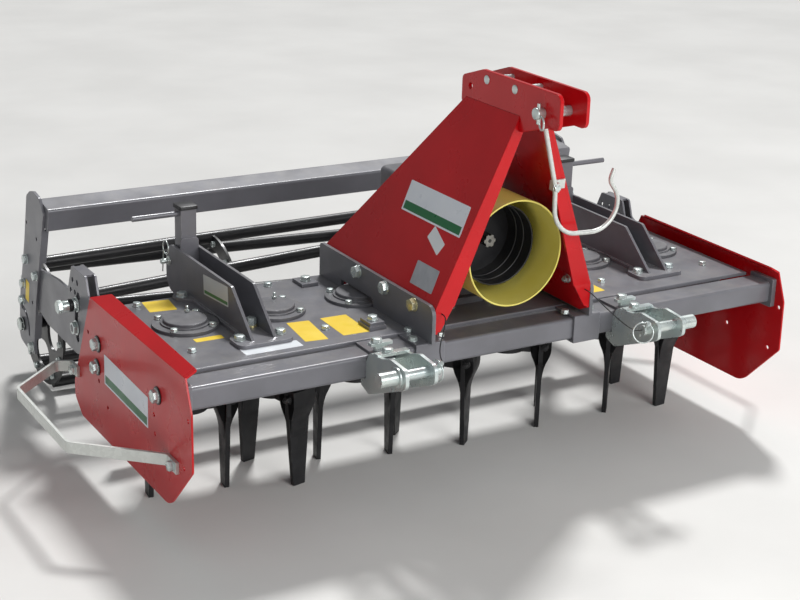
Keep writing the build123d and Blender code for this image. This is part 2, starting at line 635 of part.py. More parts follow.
        # stacked pads on the lid, outside the foot
        for pad_y, step, shrink in (
            (LID_FRONT + PAD_INSET, 0, 0),
            (LID_FRONT + PAD_INSET, 1, 8),
            (LID_REAR - PAD_WIDTH, 0, 0),
        ):
            with BuildSketch(Plane.XY.offset(LID_TOP + step * PAD_THICKNESS)):
                with Locations((side * (FOOT_OUTER + PAD_OFFSET), pad_y)):
                    Rectangle(PAD_WIDTH - shrink, 1.2 * PAD_WIDTH - shrink)
            extrude(amount=PAD_THICKNESS)
        with BuildSketch(Plane.XY.offset(LID_TOP)):
            with Locations(*[(x, 0) for x in COVER_X]):
                Circle(COVER_ARCH_RADIUS)
        extrude(amount=COVER_ARCH_HEIGHT, mode=Mode.SUBTRACT)
    save(tower_foot, f"tower_foot_{side_name}")

# Cross tubes that hold the mast plates apart
with BuildPart() as mast_tubes:
    with BuildSketch(Plane.YZ.offset(-MAST_INNER)):
        with Locations((MAST_REAR - 115, MAST_TOP - 23), (MAST_REAR - 240, MAST_TOP - 23)):
            Circle(MAST_TUBE_RADIUS)
    extrude(amount=2 * MAST_INNER)
save(mast_tubes, "mast_tubes")

with BuildPart() as top_link_pin:
    with BuildSketch(Plane.YZ.offset(-(MAST_OUTER + TOP_PIN_OVERHANG))):
        with Locations((TOP_PIN_Y, TOP_PIN_Z)):
            Circle(TOP_PIN_RADIUS)
    extrude(amount=2 * (MAST_OUTER + TOP_PIN_OVERHANG))
    with BuildSketch(Plane.YZ.offset(MAST_OUTER + FIXED_PIN_CLEARANCE)):
        with Locations((TOP_PIN_Y, TOP_PIN_Z)):
            Circle(TOP_PIN_HEAD_RADIUS)
    extrude(amount=8)
save(top_link_pin, "top_link_pin")

# Lower link clevises, their saddles on the beam and their pins
CLEVIS_FRONT = LOWER_PIN_Y - CLEVIS_NOSE
for side_name, side in SIDES:
    with BuildPart() as hitch_clevis:
        for cheek_outer in (CLEVIS_INNER + CLEVIS_THICKNESS, CLEVIS_OUTER):
            with BuildSketch(side_plane(side, cheek_outer)):
                make_face(outline([
                    (BEAM_FRONT, BEAM_TOP - 14, 0),
                    (BEAM_FRONT - 16, BEAM_TOP + 16, 22),
                    (BEAM_FRONT - 78, BEAM_TOP + 20, 26),
                    (LOWER_PIN_Y + 41, LOWER_PIN_HEIGHT + 32, 30),
                    (CLEVIS_FRONT, LOWER_PIN_HEIGHT + 26, 20),
                    (CLEVIS_FRONT, LOWER_PIN_HEIGHT - 18, 18),
                    (LOWER_PIN_Y - 18, LOWER_PIN_HEIGHT - 30, 16),
                    (BEAM_FRONT - 16, BEAM_BOTTOM - 36, 16),
                    (BEAM_FRONT + 24, BEAM_BOTTOM - 22, 8),
                    (BEAM_FRONT + 24, BEAM_BOTTOM, 0),
                    (BEAM_FRONT, BEAM_BOTTOM, 0),
                ]))
                with Locations((LOWER_PIN_Y, LOWER_PIN_HEIGHT)):
                    Circle(LOWER_PIN_RADIUS + FIXED_PIN_CLEARANCE, mode=Mode.SUBTRACT)
            extrude(amount=-side * CLEVIS_THICKNESS)
        # web between the cheeks, against the beam
        with BuildSketch(side_plane(side, CLEVIS_INNER)):
            with Locations((BEAM_FRONT - CLEVIS_THICKNESS / 2, (BEAM_TOP + BEAM_BOTTOM) / 2 - 10)):
                Rectangle(CLEVIS_THICKNESS, BEAM_HEIGHT - 10)
        extrude(amount=side * CLEVIS_WIDTH)
        # clamping bar across the cheeks
        with BuildSketch(side_plane(side, CLEVIS_INNER)):
            with Locations((BEAM_FRONT - 46, BEAM_TOP + 18)):
                Rectangle(CLAMP_BAR_WIDTH, CLAMP_BAR_THICKNESS)
        extrude(amount=side * CLEVIS_WIDTH)
    save(hitch_clevis, f"hitch_clevis_{side_name}")

    # plate on the beam, and the clamping bar on it
    saddle_middle = (CLEVIS_INNER + CLEVIS_OUTER) / 2
    with BuildPart() as hitch_saddle:
        with BuildSketch(side_plane(side, saddle_middle - SADDLE_WIDTH / 2)):
            make_face(outline([
                (BEAM_FRONT - CLAMP_THICKNESS, BEAM_TOP, 0),
                (SADDLE_REAR, BEAM_TOP, 0),
                (SADDLE_REAR, BEAM_TOP + SADDLE_THICKNESS, 0),
                (BEAM_FRONT - CLAMP_THICKNESS, BEAM_TOP + SADDLE_THICKNESS, 0),
            ]))
        extrude(amount=side * SADDLE_WIDTH)
    save(hitch_saddle, f"hitch_saddle_{side_name}")

    with BuildPart() as hitch_bar:
        for length, width, bottom, top in (
            (0.6 * CLAMP_BAR_LENGTH, 0.6 * CLAMP_BAR_WIDTH, 0, PACKING_HEIGHT),
            (CLAMP_BAR_LENGTH, CLAMP_BAR_WIDTH, PACKING_HEIGHT, PACKING_HEIGHT + CLAMP_BAR_THICKNESS),
        ):
            with BuildSketch(Plane.XY.offset(BEAM_TOP + SADDLE_THICKNESS + bottom)):
                with Locations((side * saddle_middle, BEAM_FRONT + 10)):
                    RectangleRounded(length, width, 4)
            extrude(amount=top - bottom)
    save(hitch_bar, f"hitch_bar_{side_name}")

    with BuildPart() as hitch_pin:
        with BuildSketch(side_plane(side, LOWER_PIN_END)):
            with Locations((LOWER_PIN_Y, LOWER_PIN_HEIGHT)):
                Circle(LOWER_PIN_RADIUS)
        extrude(amount=side * (CLEVIS_OUTER + 2 - LOWER_PIN_END))
        with BuildSketch(side_plane(side, CLEVIS_OUTER + FIXED_PIN_CLEARANCE)):
            with Locations((LOWER_PIN_Y, LOWER_PIN_HEIGHT)):
                Circle(LOWER_STUB_RADIUS)
        extrude(amount=side * LOWER_STUB_LENGTH)
    save(hitch_pin, f"hitch_pin_{side_name}")

# Side plates, with a folded top edge: (Y, Z, corner radius)
SIDE_OUTLINE = (
    (SIDE_PLATE_FRONT + 36, SIDE_PLATE_TOP, 0),
    (SIDE_PLATE_FRONT + 3, SIDE_PLATE_TOP - 82, 20),
    (SIDE_PLATE_FRONT, SIDE_PLATE_TOP - 228, 15),
    (SIDE_PLATE_FRONT + 139, SIDE_PLATE_BOTTOM, 70),
    (SIDE_PLATE_REAR - 55, SIDE_PLATE_BOTTOM, 30),
    (SIDE_PLATE_REAR, SIDE_PLATE_BOTTOM + 42, 25),
    (SIDE_PLATE_REAR - 2, SIDE_PLATE_BOTTOM + 87, 20),
    (SIDE_PLATE_REAR - 145, SIDE_PLATE_TOP, 0),
)
# Holes: (Y from the front, Z above the bottom)
SIDE_HOLES = (
    (20.0, 270.0),
    (48.0, 138.0),
    (227.0, 156.0),
    (231.0, 206.0),
    (552.0, 100.0),
    (614.0, 154.0),
    (686.0, 268.0),
)
fold_rise = radians(SIDE_FLANGE_ANGLE)
for side_name, side in SIDES:
    with BuildPart() as side_plate:
        with BuildSketch(side_plane(side, SIDE_PLATE_INNER)):
            make_face(outline(SIDE_OUTLINE))
            with Locations(*[(SIDE_PLATE_FRONT + y, SIDE_PLATE_BOTTOM + z) for y, z in SIDE_HOLES]):
                Circle(SIDE_HOLE_RADIUS, mode=Mode.SUBTRACT)
        extrude(amount=side * SIDE_PLATE_THICKNESS)
        # folded edge, wider towards the rear and cut off at an angle there
        fold_front = SIDE_OUTLINE[0][0]
        fold_rear = SIDE_OUTLINE[-1][0]
        fold_plane = Plane(
            (side * SIDE_PLATE_OUTER, 0, SIDE_PLATE_TOP),
            x_dir=(0, 1, 0),
            z_dir=(sin(fold_rise), 0, side * cos(fold_rise)),
        )
        with BuildSketch(fold_plane):
            make_face(outline([
                (fold_front, 0, 0),
                (fold_front, SIDE_FLANGE_FRONT_WIDTH, 8),
                (fold_rear - SIDE_FLANGE_CUT, SIDE_FLANGE_REAR_WIDTH, 18),
                (fold_rear, 0, 0),
            ]))
        extrude(amount=-side * SIDE_PLATE_THICKNESS)
    save(side_plate, f"side_plate_{side_name}")

# Guard bars bowed out from the side plates: (share of the bow, Y, bend radius)
GUARD_BAR_PATH = (
    (0.0, SIDE_PLATE_FRONT + 79, 0),
    (0.0, SIDE_PLATE_FRONT + 139, 18),
    (1.0, SIDE_PLATE_FRONT + 314, 25),
    (1.0, SIDE_PLATE_REAR - 110, 25),
    (0.21, SIDE_PLATE_REAR + 27, 18),
    (0.0, SIDE_PLATE_REAR + 10, 12),
    (0.0, SIDE_PLATE_REAR - 45, 0),
)
for side_name, side in SIDES:
    bar_middle = SIDE_PLATE_OUTER + GUARD_BAR_THICKNESS / 2
    with BuildPart() as side_guard:
        with BuildLine() as guard_line:
            FilletPolyline(
                *[(side * (bar_middle + bow * GUARD_BAR_BOW), y, GUARD_BAR_Z) for bow, y, r in GUARD_BAR_PATH],
                radius=[r for bow, y, r in GUARD_BAR_PATH[1:-1]],
            )
        with BuildSketch(Plane(guard_line.line @ 0, x_dir=(1, 0, 0), z_dir=guard_line.line % 0)):
            Rectangle(GUARD_BAR_THICKNESS, GUARD_BAR_HEIGHT)
        sweep()
    save(side_guard, f"side_guard_{side_name}")

# Levelling board: brackets on the lid, and the board with its two uprights
lug_half = BRACKET_WIDTH / 2 + BRACKET_LUG_REACH
waist_half = BRACKET_WIDTH / 2 + BRACKET_BASE_MARGIN
base_front = BRACKET_FRONT - 22
base_rear = LID_REAR - 6
# One side of the base, front to rear: (out from its middle, Y, corner radius)
BASE_HALF = (
    (lug_half, base_front, 20),
    (lug_half, base_front + BRACKET_LUG_LENGTH, 20),
    (waist_half, base_front + 1.5 * BRACKET_LUG_LENGTH, 14),
    (waist_half, base_rear - BRACKET_LUG_LENGTH, 14),
    (lug_half, base_rear - BRACKET_LUG_LENGTH / 2, 12),
    (lug_half, base_rear, 12),
)
for side_name, side in SIDES:
    base_top = LID_TOP + BRACKET_BASE_THICKNESS
    base_middle = side * BRACKET_MIDDLE
    base_near = [(base_middle + out, y, r) for out, y, r in BASE_HALF]
    base_far = [(base_middle - out, y, r) for out, y, r in reversed(BASE_HALF)]
    with BuildPart() as leveller_bracket:
        with BuildSketch(Plane.XY.offset(LID_TOP)):
            make_face(outline(base_near + base_far))
            with Locations(*[(x, 0) for x in ROTOR_X]):
                Circle(COVER_ARCH_RADIUS - 1, mode=Mode.SUBTRACT)
        extrude(amount=BRACKET_BASE_THICKNESS)
        for plate_x in (BRACKET_INNER, BRACKET_OUTER):
            with BuildSketch(side_plane(side, plate_x - BRACKET_THICKNESS / 2)):
                make_face(outline([
                    (BRACKET_FRONT, base_top, 0),
                    (BRACKET_FRONT + 123, BRACKET_TOP, 14),
                    (BRACKET_REAR, BRACKET_TOP, 45),
                    (BRACKET_REAR, LID_BOTTOM - 8, 45),
                    (LID_REAR + 4, LID_BOTTOM - 8, 0),
                    (LID_REAR + 4, base_top, 0),
                ]))
            extrude(amount=side * BRACKET_THICKNESS)
        collar_size = BRACKET_WIDTH - BRACKET_THICKNESS
        with BuildSketch(Plane.XY.offset(COLLAR_BOTTOM)):
            with Locations((side * BRACKET_MIDDLE, UPRIGHT_Y)):
                Rectangle(collar_size, collar_size)
                Rectangle(UPRIGHT_SIZE + 2 * SLIDE_CLEARANCE, UPRIGHT_SIZE + 2 * SLIDE_CLEARANCE, mode=Mode.SUBTRACT)
        extrude(amount=COLLAR_HEIGHT)
        # tab with rounded corners in front of the upright
        with BuildSketch(Plane.XZ.offset(-(UPRIGHT_Y - UPRIGHT_SIZE / 2 - SLIDE_CLEARANCE))):
            make_face(outline([
                (side * BRACKET_MIDDLE - collar_size / 2, COLLAR_BOTTOM, 0),
                (side * BRACKET_MIDDLE + collar_size / 2, COLLAR_BOTTOM, 0),
                (side * BRACKET_MIDDLE + collar_size / 2, COLLAR_BOTTOM + TAB_HEIGHT, 10),
                (side * BRACKET_MIDDLE - collar_size / 2, COLLAR_BOTTOM + TAB_HEIGHT, 10),
            ]))
        extrude(amount=(collar_size - UPRIGHT_SIZE) / 2 - SLIDE_CLEARANCE)
    save(leveller_bracket, f"leveller_bracket_{side_name}")

with BuildPart() as leveller_board:
    with BuildSketch(Plane.XY.offset(BOARD_BOTTOM)):
        with Locations((0, UPRIGHT_Y - UPRIGHT_SIZE / 2 - BOARD_THICKNESS / 2)):
            Rectangle(2 * BOARD_HALF_LENGTH, BOARD_THICKNESS)
    extrude(amount=BOARD_HEIGHT)
save(leveller_board, "leveller_board")

for side_name, side in SIDES:
    upright_bottom = BOARD_BOTTOM + 20
    with BuildPart() as leveller_upright:
        with BuildSketch(Plane.XY.offset(upright_bottom)):
            with Locations((side * BRACKET_MIDDLE, UPRIGHT_Y)):
                Rectangle(UPRIGHT_SIZE, UPRIGHT_SIZE)
                Rectangle(UPRIGHT_SIZE - 2 * UPRIGHT_WALL, UPRIGHT_SIZE - 2 * UPRIGHT_WALL, mode=Mode.SUBTRACT)
        extrude(amount=UPRIGHT_TOP - upright_bottom)
        with BuildSketch(Plane.XY.offset(UPRIGHT_TOP)):
            with Locations((side * BRACKET_MIDDLE, UPRIGHT_Y)):
                RectangleRounded(UPRIGHT_SIZE + 6, UPRIGHT_SIZE + 6, 4)
        extrude(amount=7)
        with BuildSketch(side_plane(side, BRACKET_MIDDLE + UPRIGHT_SIZE / 2)):
            with Locations((UPRIGHT_Y, UPRIGHT_TOP - 16)):
                Circle(HANDLE_RADIUS)
        extrude(amount=side * HANDLE_LENGTH)
    save(leveller_upright, f"leveller_upright_{side_name}")

# Roller frame. A slotted bracket with two cheeks holds each arm, and the arm's
# two bolts ride in the cheeks' curved slot.
CHEEK_OUTLINE = (
    (TROUGH_FLOOR_HALF_WIDTH - 15, TROUGH_BOTTOM + 20, 8),
    (TROUGH_FLOOR_HALF_WIDTH - 15, LID_BOTTOM - 16, 8),
    (LID_REAR + 6, LID_BOTTOM - 8, 14),
    (PIVOT_Y + 63, LID_BOTTOM + 20, 14),
    (PIVOT_Y + 82, CHEEK_TOP, 10),
    (PIVOT_Y + 189, CHEEK_TOP, 10),
    (PIVOT_Y + 222, CHEEK_TOP - 72, 20),
    (PIVOT_Y + 226, PIVOT_Z - 20, 30),
    (PIVOT_Y + 190, PIVOT_Z - 96, 30),
    (PIVOT_Y - 30, TROUGH_BOTTOM + 20, 14),
)
# Depth holes, from the pivot: (Y, Z)
DEPTH_HOLES = (
    (183.0, 117.0),
    (147.0, 119.0),
    (200.0, 84.0),
    (166.0, 86.0),
)
ARM_OUTLINE = (
    (PIVOT_Y - 44, PIVOT_Z - 38, 30),
    (PIVOT_Y - 44, PIVOT_Z + 38, 30),
    (PIVOT_Y + 95, PIVOT_Z + 66, 60),
    (PIVOT_Y + 345, PIVOT_Z + 66, 80),
    (PIVOT_Y + 500, PIVOT_Z + 50, 0),
    (PIVOT_Y + 530, PIVOT_Z - 80, 0),
    (PIVOT_Y + 440, PIVOT_Z - 101, 60),
    (PIVOT_Y + 205, PIVOT_Z - 106, 60),
    (PIVOT_Y + 20, PIVOT_Z - 42, 30),
)
ROLLER_PLATE_OUTLINE = (
    (ROLLER_Y - 150, CROSS_BAR_Z + 55, 16),
    (ROLLER_Y - 117, CROSS_BAR_Z + 48, 16),
    (ROLLER_Y - 88, CROSS_BAR_Z + 29, 20),
    (ROLLER_Y - 49, ROLLER_RADIUS + 276, 60),
    (ROLLER_Y + 22, ROLLER_RADIUS + 69, 60),
    (ROLLER_Y + 40, ROLLER_RADIUS - 55, 24),
    (ROLLER_Y - 36, ROLLER_RADIUS - 69, 30),
    (ROLLER_Y - 102, ROLLER_RADIUS - 67, 12),
    (ROLLER_Y - 96, ROLLER_RADIUS - 36, 30),
    (ROLLER_Y - 135, ROLLER_RADIUS + 118, 0),
    (ROLLER_Y - 232, CROSS_BAR_Z + 8, 14),
    (ROLLER_Y - 198, CROSS_BAR_Z + 48, 14),
)
# Holes, from the roller's middle and the cross bar's: (Y, Z)
PLATE_HOLES = (
    (-76.0, -55.0),
    (-162.0, -82.0),
    (-98.0, -295.0),
)
# Front folds, each along one straight edge: (first corner, share where it starts, share where it ends)
ROLLER_PLATE_FOLDS = (
    (8, 0.12, 0.66),
    (9, 0.43, 0.81),
)
SLOT_LOW = LOWER_BOLT_ANGLE - SLOT_SPARE_ANGLE
SLOT_HIGH = UPPER_BOLT_ANGLE + SLOT_SPARE_ANGLE
BOLTS = (
    (LOWER_BOLT_ANGLE, LOWER_BOLT_REACH),
    (UPPER_BOLT_ANGLE, UPPER_BOLT_REACH),
)
for side_name, side in SIDES:
    with BuildPart() as depth_bracket:
        for cheek_x in (TROUGH_END, OUTER_CHEEK_INNER):
            with BuildSketch(side_plane(side, cheek_x)):
                make_face(outline(CHEEK_OUTLINE))
                with Locations((PIVOT_Y, PIVOT_Z)):
                    Circle(PIVOT_RADIUS + FIXED_PIN_CLEARANCE, mode=Mode.SUBTRACT)
                with Locations(*[(PIVOT_Y + y, PIVOT_Z + z) for y, z in DEPTH_HOLES]):
                    Circle(DEPTH_HOLE_RADIUS, mode=Mode.SUBTRACT)
                slot_line = Edge.make_circle(SLOT_RADIUS, Plane((PIVOT_Y, PIVOT_Z, 0)), SLOT_LOW, SLOT_HIGH)
                SlotArc(slot_line, 2 * (DEPTH_BOLT_RADIUS + SLOT_CLEARANCE), mode=Mode.SUBTRACT)
            extrude(amount=side * CHEEK_THICKNESS)
        # cap that joins the cheeks
        with BuildSketch(side_plane(side, INNER_CHEEK_OUTER)):
            with Locations((PIVOT_Y + 135, CHEEK_TOP - CHEEK_THICKNESS / 2)):
                Rectangle(84, CHEEK_THICKNESS)
        extrude(amount=side * (OUTER_CHEEK_INNER - INNER_CHEEK_OUTER))
    save(depth_bracket, f"depth_bracket_{side_name}")

    with BuildPart() as arm_pivot:
        with BuildSketch(side_plane(side, TROUGH_END)):
            with Locations((PIVOT_Y, PIVOT_Z)):
                Circle(PIVOT_RADIUS)
        extrude(amount=side * (SIDE_PLATE_INNER - TROUGH_END))
    save(arm_pivot, f"arm_pivot_{side_name}")

    with BuildPart() as roller_arm:
        with BuildSketch(side_plane(side, ARM_INNER)):
            make_face(outline(ARM_OUTLINE))
            with Locations((PIVOT_Y, PIVOT_Z)):
                Circle(PIVOT_RADIUS + SHAFT_CLEARANCE, mode=Mode.SUBTRACT)
        extrude(amount=side * ARM_THICKNESS)
        for bolt_angle, bolt_reach in BOLTS:
            with BuildSketch(side_plane(side, TROUGH_END - 10)):
                with Locations((
                    PIVOT_Y + SLOT_RADIUS * cos(radians(bolt_angle)),
                    PIVOT_Z + SLOT_RADIUS * sin(radians(bolt_angle)),
                )):
                    Circle(DEPTH_BOLT_RADIUS)
            extrude(amount=side * (ARM_OUTER + bolt_reach - TROUGH_END + 10))
    save(roller_arm, f"roller_arm_{side_name}")

    with BuildPart() as roller_plate:
        with BuildSketch(side_plane(side, ARM_OUTER)):
            make_face(outline(ROLLER_PLATE_OUTLINE))
            with Locations((ROLLER_Y, ROLLER_RADIUS)):
                Circle(ROLLER_AXLE_RADIUS + SHAFT_CLEARANCE, mode=Mode.SUBTRACT)
            with Locations(*[(ROLLER_Y + y, CROSS_BAR_Z + z) for y, z in PLATE_HOLES]):
                Circle(SIDE_HOLE_RADIUS, mode=Mode.SUBTRACT)
            # curved slot in front of the axle
            plate_slot = Edge.make_circle(PLATE_SLOT_RADIUS, Plane((ROLLER_Y, ROLLER_RADIUS, 0)), 85, 195)
            SlotArc(plate_slot, PLATE_SLOT_WIDTH, mode=Mode.SUBTRACT)
        extrude(amount=side * ROLLER_PLATE_THICKNESS)
        # bearing round the axle
        with BuildSketch(side_plane(side, ARM_OUTER - BEARING_DEPTH)):
            with Locations((ROLLER_Y, ROLLER_RADIUS)):
                Circle(BEARING_RADIUS)
                Circle(ROLLER_AXLE_RADIUS + SHAFT_CLEARANCE, mode=Mode.SUBTRACT)
        extrude(amount=side * BEARING_DEPTH)
        # front flanges, turned in: the arm passes between them
        for corner, near_share, far_share in ROLLER_PLATE_FOLDS:
            foot_y, foot_z, r = ROLLER_PLATE_OUTLINE[corner]
            head_y, head_z, r = ROLLER_PLATE_OUTLINE[corner + 1]
            run = hypot(head_y - foot_y, head_z - foot_z)
            along = ((head_y - foot_y) / run, (head_z - foot_z) / run)
            across = (along[1] * ROLLER_PLATE_THICKNESS, -along[0] * ROLLER_PLATE_THICKNESS)
            near = near_share * run
            far = far_share * run
            with BuildSketch(side_plane(side, ARM_OUTER - ROLLER_PLATE_FLANGE)):
                make_face(outline([
                    (foot_y + near * along[0], foot_z + near * along[1], 0),
                    (foot_y + far * along[0], foot_z + far * along[1], 0),
                    (foot_y + far * along[0] + across[0], foot_z + far * along[1] + across[1], 0),
                    (foot_y + near * along[0] + across[0], foot_z + near * along[1] + across[1], 0),
                ]))
            extrude(amount=side * ROLLER_PLATE_FLANGE)
    save(roller_plate, f"roller_plate_{side_name}")

with BuildPart() as cross_bar:
    bar_place = Location((CROSS_BAR_Y, CROSS_BAR_Z, 0), (0, 0, CROSS_BAR_TILT))
    with BuildSketch(Plane.YZ.offset(-ARM_OUTER)):
        with Locations(bar_place):
            RectangleRounded(CROSS_BAR_DEPTH, CROSS_BAR_HEIGHT, CROSS_BAR_CORNER)
    extrude(amount=2 * ARM_OUTER)
    # hollow between the end caps, each with a drain hole
    with BuildSketch(Plane.YZ.offset(-(ARM_OUTER - CROSS_BAR_WALL))):
        with Locations(bar_place):
            RectangleRounded(
                CROSS_BAR_DEPTH - 2 * CROSS_BAR_WALL,
                CROSS_BAR_HEIGHT - 2 * CROSS_BAR_WALL,
                CROSS_BAR_CORNER - CROSS_BAR_WALL,
            )
    extrude(amount=2 * (ARM_OUTER - CROSS_BAR_WALL), mode=Mode.SUBTRACT)
    with BuildSketch(Plane.YZ.offset(-2 * ARM_OUTER)):
        with Locations(bar_place):
            Circle(CROSS_BAR_DRAIN_RADIUS)
    extrude(amount=4 * ARM_OUTER, mode=Mode.SUBTRACT)
save(cross_bar, "cross_bar")

# Roller: discs with cut-outs, joined by bars that wind slowly round them
disc_pitch = 2 * ROLLER_HALF_LENGTH / (ROLLER_DISC_COUNT - 1)
bar_circle = ROLLER_RADIUS - ROLLER_BAR_RADIUS
disc_radius = ROLLER_RADIUS - ROLLER_BAR_RADIUS / 2
window_width = disc_radius - ROLLER_RIM_WIDTH - ROLLER_HUB_RADIUS
window_radius = ROLLER_HUB_RADIUS + window_width / 2
window_half = 180 / ROLLER_WINDOW_COUNT - degrees(asin((window_width + ROLLER_WEB_WIDTH) / 2 / window_radius))
window_line = Edge.make_circle(window_radius, Plane.XY, -window_half, window_half)


def bar_point(station, bar):
    """Where a bar's centre passes a disc."""
    share = station / (ROLLER_DISC_COUNT - 1)
    turn = radians(ROLLER_START_ANGLE + 360 * bar / ROLLER_BAR_COUNT + ROLLER_TWIST * share)
    x = -ROLLER_HALF_LENGTH + disc_pitch * station
    return Vector(x, ROLLER_Y + bar_circle * sin(turn), ROLLER_RADIUS + bar_circle * cos(turn))


with BuildPart() as roller:
    for station in range(ROLLER_DISC_COUNT):
        disc_x = -ROLLER_HALF_LENGTH + disc_pitch * station
        with BuildSketch(Plane.YZ.offset(disc_x - ROLLER_DISC_THICKNESS / 2)):
            with Locations((ROLLER_Y, ROLLER_RADIUS)):
                Circle(disc_radius)
                with PolarLocations(0, ROLLER_WINDOW_COUNT):
                    SlotArc(window_line, window_width, mode=Mode.SUBTRACT)
        extrude(amount=ROLLER_DISC_THICKNESS)
    for bar in range(ROLLER_BAR_COUNT):
        for station in range(ROLLER_DISC_COUNT - 1):
            start = bar_point(station, bar)
            end = bar_point(station + 1, bar)
            with BuildSketch(Plane(start, z_dir=end - start)):
                Circle(ROLLER_BAR_RADIUS)
            extrude(amount=(end - start).length)
    for side_name, side in SIDES:
        with BuildSketch(side_plane(side, ROLLER_HALF_LENGTH)):
            with Locations((ROLLER_Y, ROLLER_RADIUS)):
                Circle(ROLLER_AXLE_RADIUS)
        extrude(amount=side * (ROLLER_PLATE_OUTER + 10 - ROLLER_HALF_LENGTH))
save(roller, "roller")

# Hook and its clip on the right leg. The rod runs past the clip's edge.
clip_share = (HOOK_CLIP_HEIGHT - LEG_BEND_HEIGHT) / LEG_RISE
clip_along = clip_share * flange_rise
clip_x = FOOT_INNER - clip_share * leg_run - 30
clip_reach = LEG_FRONT_BOTTOM - clip_share * flange_lean - HOOK_Y
rod_x = clip_x - HOOK_CLIP_WIDTH / 2 - 3
# Rod: (X, Z, bend radius)
HOOK_PATH = (
    (MAST_OUTER - 26, LEG_TOP_HEIGHT - 10, 0),
    (rod_x, HOOK_CLIP_HEIGHT, 40),
    (rod_x + 4, HOOK_CLIP_HEIGHT - 126, 75),
    (rod_x + 187, HOOK_CLIP_HEIGHT - 134, 75),
    (rod_x + 204, HOOK_CLIP_HEIGHT - 46, 60),
    (rod_x + 170, HOOK_CLIP_HEIGHT, 25),
    (rod_x + 182, HOOK_CLIP_HEIGHT + 30, 0),
)
with BuildPart() as shaft_hook:
    with BuildLine() as hook_line:
        FilletPolyline(
            *[(x, HOOK_Y, z) for x, z, r in HOOK_PATH],
            radius=[r for x, z, r in HOOK_PATH[1:-1]],
        )
    with BuildSketch(Plane(hook_line.line @ 0, z_dir=hook_line.line % 0)):
        Circle(HOOK_RADIUS)
    sweep()
    # clip: a plate on the leg's front flange with a foot that carries the rod
    with BuildSketch(flange_plane):
        with Locations((clip_x, clip_along)):
            Rectangle(HOOK_CLIP_WIDTH, 24)
            Circle(HOOK_CLIP_HOLE, mode=Mode.SUBTRACT)
    extrude(amount=HOOK_CLIP_THICKNESS)
    with BuildSketch(flange_plane):
        with Locations((clip_x - HOOK_CLIP_WIDTH / 2 + 5, clip_along)):
            Rectangle(10, 24)
    extrude(amount=clip_reach)
save(shaft_hook, "shaft_hook")

# Lanyards that keep the lower link pins, from the leg's flange to the pin's inner end.
# Route: shares of the way from start to end along X, Y and Z
LANYARD_ROUTE = (
    (0.0, 0.13, 0.0),
    (0.11, 0.25, 0.15),
    (0.31, 0.38, 0.42),
    (0.53, 0.52, 0.69),
    (0.67, 0.7, 0.88),
    (0.74, 0.9, 0.97),
    (0.85, 1.0, 1.0),
)
for side_name, side in SIDES:
    lanyard_start = Vector(side * (FOOT_INNER - 18), LEG_FRONT_BOTTOM, LEG_BEND_HEIGHT - 14)
    lanyard_end = Vector(side * LOWER_PIN_END, LOWER_PIN_Y, LOWER_PIN_HEIGHT + 1)
    reach = lanyard_end - lanyard_start
    stations = [lanyard_start]
    stations += [lanyard_start + Vector(reach.X * x, reach.Y * y, reach.Z * z) for x, y, z in LANYARD_ROUTE]
    stations.append(lanyard_end)
    bends = []
    for before, here, after in zip(stations, stations[1:], stations[2:]):
        turn = (here - before).get_angle(after - here)
        shorter_run = min((here - before).length, (after - here).length)
        bends.append(0.45 * shorter_run / tan(radians(turn / 2)))
    print(f"pin_lanyard_{side_name} bend radii", [round(bend, 1) for bend in bends])
    with BuildPart() as pin_lanyard:
        with BuildLine() as lanyard_line:
            FilletPolyline(*stations, radius=bends)
        with BuildSketch(Plane(lanyard_line.line @ 0, z_dir=lanyard_line.line % 0)):
            Circle(LANYARD_RADIUS)
        sweep()
    save(pin_lanyard, f"pin_lanyard_{side_name}")
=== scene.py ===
"""Looks of a mounted power harrow: its paint, plating, fasteners and labels.

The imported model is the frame. Each sub-assembly is a class that dresses its own
nodes and adds the small parts that sit on them. Places are written in
millimetres from the rotor line, the way the machine is laid out, and turned to
metres by Datum. The left side is at negative X, the tractor at negative Y.
"""

from __future__ import annotations

import logging
import math
from dataclasses import dataclass
from enum import Enum
from typing import Any, Callable, Sequence

import bmesh
import bpy
from mathutils import Matrix, Vector

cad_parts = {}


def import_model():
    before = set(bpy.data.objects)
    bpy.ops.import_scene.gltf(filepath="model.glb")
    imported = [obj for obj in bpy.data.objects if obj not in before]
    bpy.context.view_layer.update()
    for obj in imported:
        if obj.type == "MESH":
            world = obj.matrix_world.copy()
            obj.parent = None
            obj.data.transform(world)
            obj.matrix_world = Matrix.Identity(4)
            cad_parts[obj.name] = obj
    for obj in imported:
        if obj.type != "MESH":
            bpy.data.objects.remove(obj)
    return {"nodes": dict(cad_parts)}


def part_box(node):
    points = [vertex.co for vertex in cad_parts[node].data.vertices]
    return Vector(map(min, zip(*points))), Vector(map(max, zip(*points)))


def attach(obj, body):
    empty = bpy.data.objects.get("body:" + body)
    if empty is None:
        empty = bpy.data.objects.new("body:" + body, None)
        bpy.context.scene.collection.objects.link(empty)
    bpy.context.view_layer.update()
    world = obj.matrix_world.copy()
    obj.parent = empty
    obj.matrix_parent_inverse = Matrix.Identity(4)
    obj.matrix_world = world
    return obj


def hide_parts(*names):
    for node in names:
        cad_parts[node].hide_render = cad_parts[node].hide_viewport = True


log = logging.getLogger("power_harrow")

MM = 0.001
SIDES = (("left", -1), ("right", 1))
UP = (0.0, 0.0, 1.0)

Point = tuple[float, float, float]
Spot = tuple[float, float]
Tree = bpy.types.NodeTree
Socket = bpy.types.NodeSocket


# Placing


